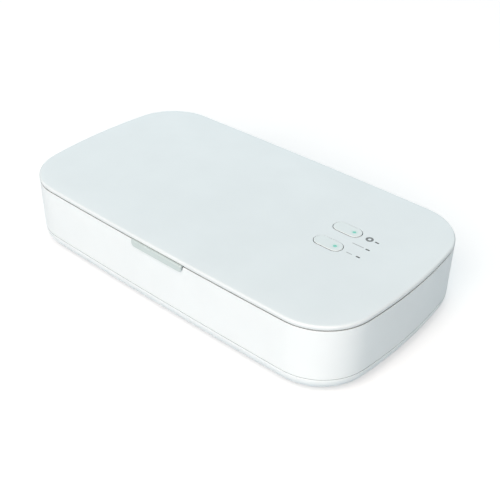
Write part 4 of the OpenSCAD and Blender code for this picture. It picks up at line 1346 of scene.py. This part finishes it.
class BOX_OT_stage(bpy.types.Operator):
    """Floor, sky, lamps and camera"""

    bl_idname = "sanitizer.stage"
    bl_label = "Stage"

    # The camera's angles in degrees, its distance and aim in millimetres, and its lens
    AZIMUTH, ELEVATION, ROLL = 40.558, 34.865, 0.96
    DISTANCE, LENS, SENSOR = 462.764, 61.53, 36
    AIM = (7.023, 3.199, 8.618)
    NEAREST, FARTHEST = 0.01, 20

    # Each lamp's azimuth, elevation, watts and tint. Both are equally far away and equally wide
    LAMPS = (
        ("key", 22, 28, 181.0, (1, 0.89, 0.84)),
        ("rim", 215, 40, 52.0, (0.75, 0.93, 1)),
    )
    LAMP_DISTANCE, LAMP_ACROSS = 2.8, 4.8

    # What the floor and the sky give the object, and what the camera sees of the floor
    FLOOR_HALF, FLOOR_PLAIN, FLOOR_SHOWN, FLOOR_LIFT = 3.0, (0.10, 0.24, 0.31), (0.84,) * 3, 0.29
    FILL, WHITE = (0.12, 0.15, 0.16), (1, 1, 1)

    def execute(self, context):
        scene = context.scene
        scene.view_settings.view_transform = "Standard"
        self.floor(scene)
        self.sky(scene)
        self.lamps(scene)
        self.camera(scene)
        return {"FINISHED"}

    @staticmethod
    def coloured(tree, kind, value):
        """A shader node of a kind in one colour."""
        node = tree.nodes.new(kind)
        node.inputs["Color"].default_value = (*value, 1)
        return node

    @staticmethod
    def mixed(tree, factor, first, second):
        """The first shader where the factor is 0 and the second where it is 1."""
        node = tree.nodes.new("ShaderNodeMixShader")
        for socket, output in zip(node.inputs, (factor, first, second)):
            tree.links.new(output, socket)
        return node.outputs["Shader"]

    @staticmethod
    def seen(tree):
        """1 for rays from the camera, straight, through glass or by way of a reflection."""
        path = tree.nodes.new("ShaderNodeLightPath")
        seen = path.outputs["Is Camera Ray"]
        for other in ("Is Transmission Ray", "Is Glossy Ray"):
            most = tree.nodes.new("ShaderNodeMath")
            most.operation = "MAXIMUM"
            tree.links.new(seen, most.inputs[0])
            tree.links.new(path.outputs[other], most.inputs[1])
            seen = most.outputs["Value"]
        return seen

    def floor(self, scene):
        """A floor that keeps the shadow and is white where it is seen, and clear from below."""
        material = bpy.data.materials.new("white_floor")
        material.use_nodes = True
        tree = material.node_tree
        tree.nodes.clear()
        plain = self.coloured(tree, "ShaderNodeBsdfDiffuse", self.FLOOR_PLAIN)
        shown = self.coloured(tree, "ShaderNodeBsdfDiffuse", self.FLOOR_SHOWN)
        lift = self.coloured(tree, "ShaderNodeEmission", self.WHITE)
        lift.inputs["Strength"].default_value = self.FLOOR_LIFT
        both = tree.nodes.new("ShaderNodeAddShader")
        tree.links.new(shown.outputs["BSDF"], both.inputs[0])
        tree.links.new(lift.outputs["Emission"], both.inputs[1])
        upper = self.mixed(tree, self.seen(tree), plain.outputs["BSDF"], both.outputs["Shader"])
        clear = tree.nodes.new("ShaderNodeBsdfTransparent").outputs["BSDF"]
        below = tree.nodes.new("ShaderNodeNewGeometry").outputs["Backfacing"]
        out = tree.nodes.new("ShaderNodeOutputMaterial")
        tree.links.new(self.mixed(tree, below, upper, clear), out.inputs["Surface"])
        far = self.FLOOR_HALF
        corners = [(-far, -far, 0), (far, -far, 0), (far, far, 0), (-far, far, 0)]
        mesh = mesh_of("floor", (np.array(corners), [(0, 1, 2, 3)]))
        mesh.materials.append(material)
        o = bpy.data.objects.new("floor", mesh)
        scene.collection.objects.link(o)

    def sky(self, scene):
        """A plain sky: a soft fill on the object, and white where it is seen."""
        world = bpy.data.worlds.new("sky")
        scene.world = world
        world.use_nodes = True
        tree = world.node_tree
        tree.nodes.clear()
        fill, white = (self.coloured(tree, "ShaderNodeBackground", value).outputs["Background"]
                       for value in (self.FILL, self.WHITE))
        out = tree.nodes.new("ShaderNodeOutputWorld")
        tree.links.new(self.mixed(tree, self.seen(tree), fill, white), out.inputs["Surface"])

    @staticmethod
    def direction(azimuth, elevation):
        """The way out to a place: azimuth from the front to the right, elevation up, in radians."""
        return Vector((math.sin(azimuth) * math.cos(elevation),
                       -math.cos(azimuth) * math.cos(elevation), math.sin(elevation)))

    def lamps(self, scene):
        """A broad soft lamp in front of the near corner and a weaker one behind."""
        for name, azimuth, elevation, watts, tint in self.LAMPS:
            data = bpy.data.lights.new(name, "AREA")
            data.shape = "DISK"
            data.size = self.LAMP_ACROSS
            data.energy = watts
            data.color = tint
            lamp = bpy.data.objects.new(name, data)
            back = self.direction(math.radians(azimuth), math.radians(elevation))
            lamp.location = back * self.LAMP_DISTANCE
            lamp.rotation_euler = (-back).to_track_quat("-Z", "Y").to_euler()
            scene.collection.objects.link(lamp)

    def camera(self, scene):
        """The camera, from its angles about the point it aims at."""
        azimuth, elevation, roll = map(math.radians, (self.AZIMUTH, self.ELEVATION, self.ROLL))
        back = self.direction(azimuth, elevation)
        right = Vector((math.cos(azimuth), math.sin(azimuth), 0))
        up = back.cross(right)
        turned_right = right * math.cos(roll) + up * math.sin(roll)
        turned_up = up * math.cos(roll) - right * math.sin(roll)
        data = bpy.data.cameras.new("camera")
        data.lens = self.LENS
        data.sensor_width = self.SENSOR
        data.clip_start, data.clip_end = self.NEAREST, self.FARTHEST
        camera = bpy.data.objects.new("camera", data)
        turn = Matrix((turned_right, turned_up, back)).transposed()
        place = Vector(self.AIM) * MM + back * self.DISTANCE * MM
        camera.matrix_world = Matrix.Translation(place) @ turn.to_4x4()
        scene.collection.objects.link(camera)
        scene.camera = camera


STEPS = (
    BOX_OT_stage, BOX_OT_lid_cover, BOX_OT_base_wall, BOX_OT_bottom_cover, BOX_OT_thumb_tab,
    BOX_OT_buttons, BOX_OT_lid_marks, BOX_OT_chamber, BOX_OT_lamps, BOX_OT_lid_inside,
    BOX_OT_feet_and_inlet, BOX_OT_inner_parts,
)


class BOX_PT_panel(bpy.types.Panel):
    """Lists the box's building steps, sizes and finishes"""

    bl_idname = "BOX_PT_panel"
    bl_label = "Sanitizer Box"
    bl_space_type = "VIEW_3D"
    bl_region_type = "UI"
    bl_category = "Sanitizer Box"

    def draw(self, context):
        layout = self.layout
        for step in STEPS:
            layout.operator(step.bl_idname)
        scene = context.scene
        for group in (scene.box_outline_sizes, scene.box_control_sizes, scene.box_finishes):
            for name in group.bl_rna.properties.keys():
                if name not in ("rna_type", "name"):
                    layout.prop(group, name)


CLASSES = (OutlineSizes, ControlSizes, Finishes, *STEPS, BOX_PT_panel)


def register():
    for item in CLASSES:
        bpy.utils.register_class(item)
    bpy.types.Scene.box_outline_sizes = PointerProperty(type=OutlineSizes)
    bpy.types.Scene.box_control_sizes = PointerProperty(type=ControlSizes)
    bpy.types.Scene.box_finishes = PointerProperty(type=Finishes)


def unregister():
    for name in ("box_outline_sizes", "box_control_sizes", "box_finishes"):
        delattr(bpy.types.Scene, name)
    for item in reversed(CLASSES):
        bpy.utils.unregister_class(item)


def main():
    """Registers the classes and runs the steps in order."""
    register()
    for step in STEPS:
        group, name = step.bl_idname.split(".")
        getattr(getattr(bpy.ops, group), name)()


if __name__ == "__main__":
    main()
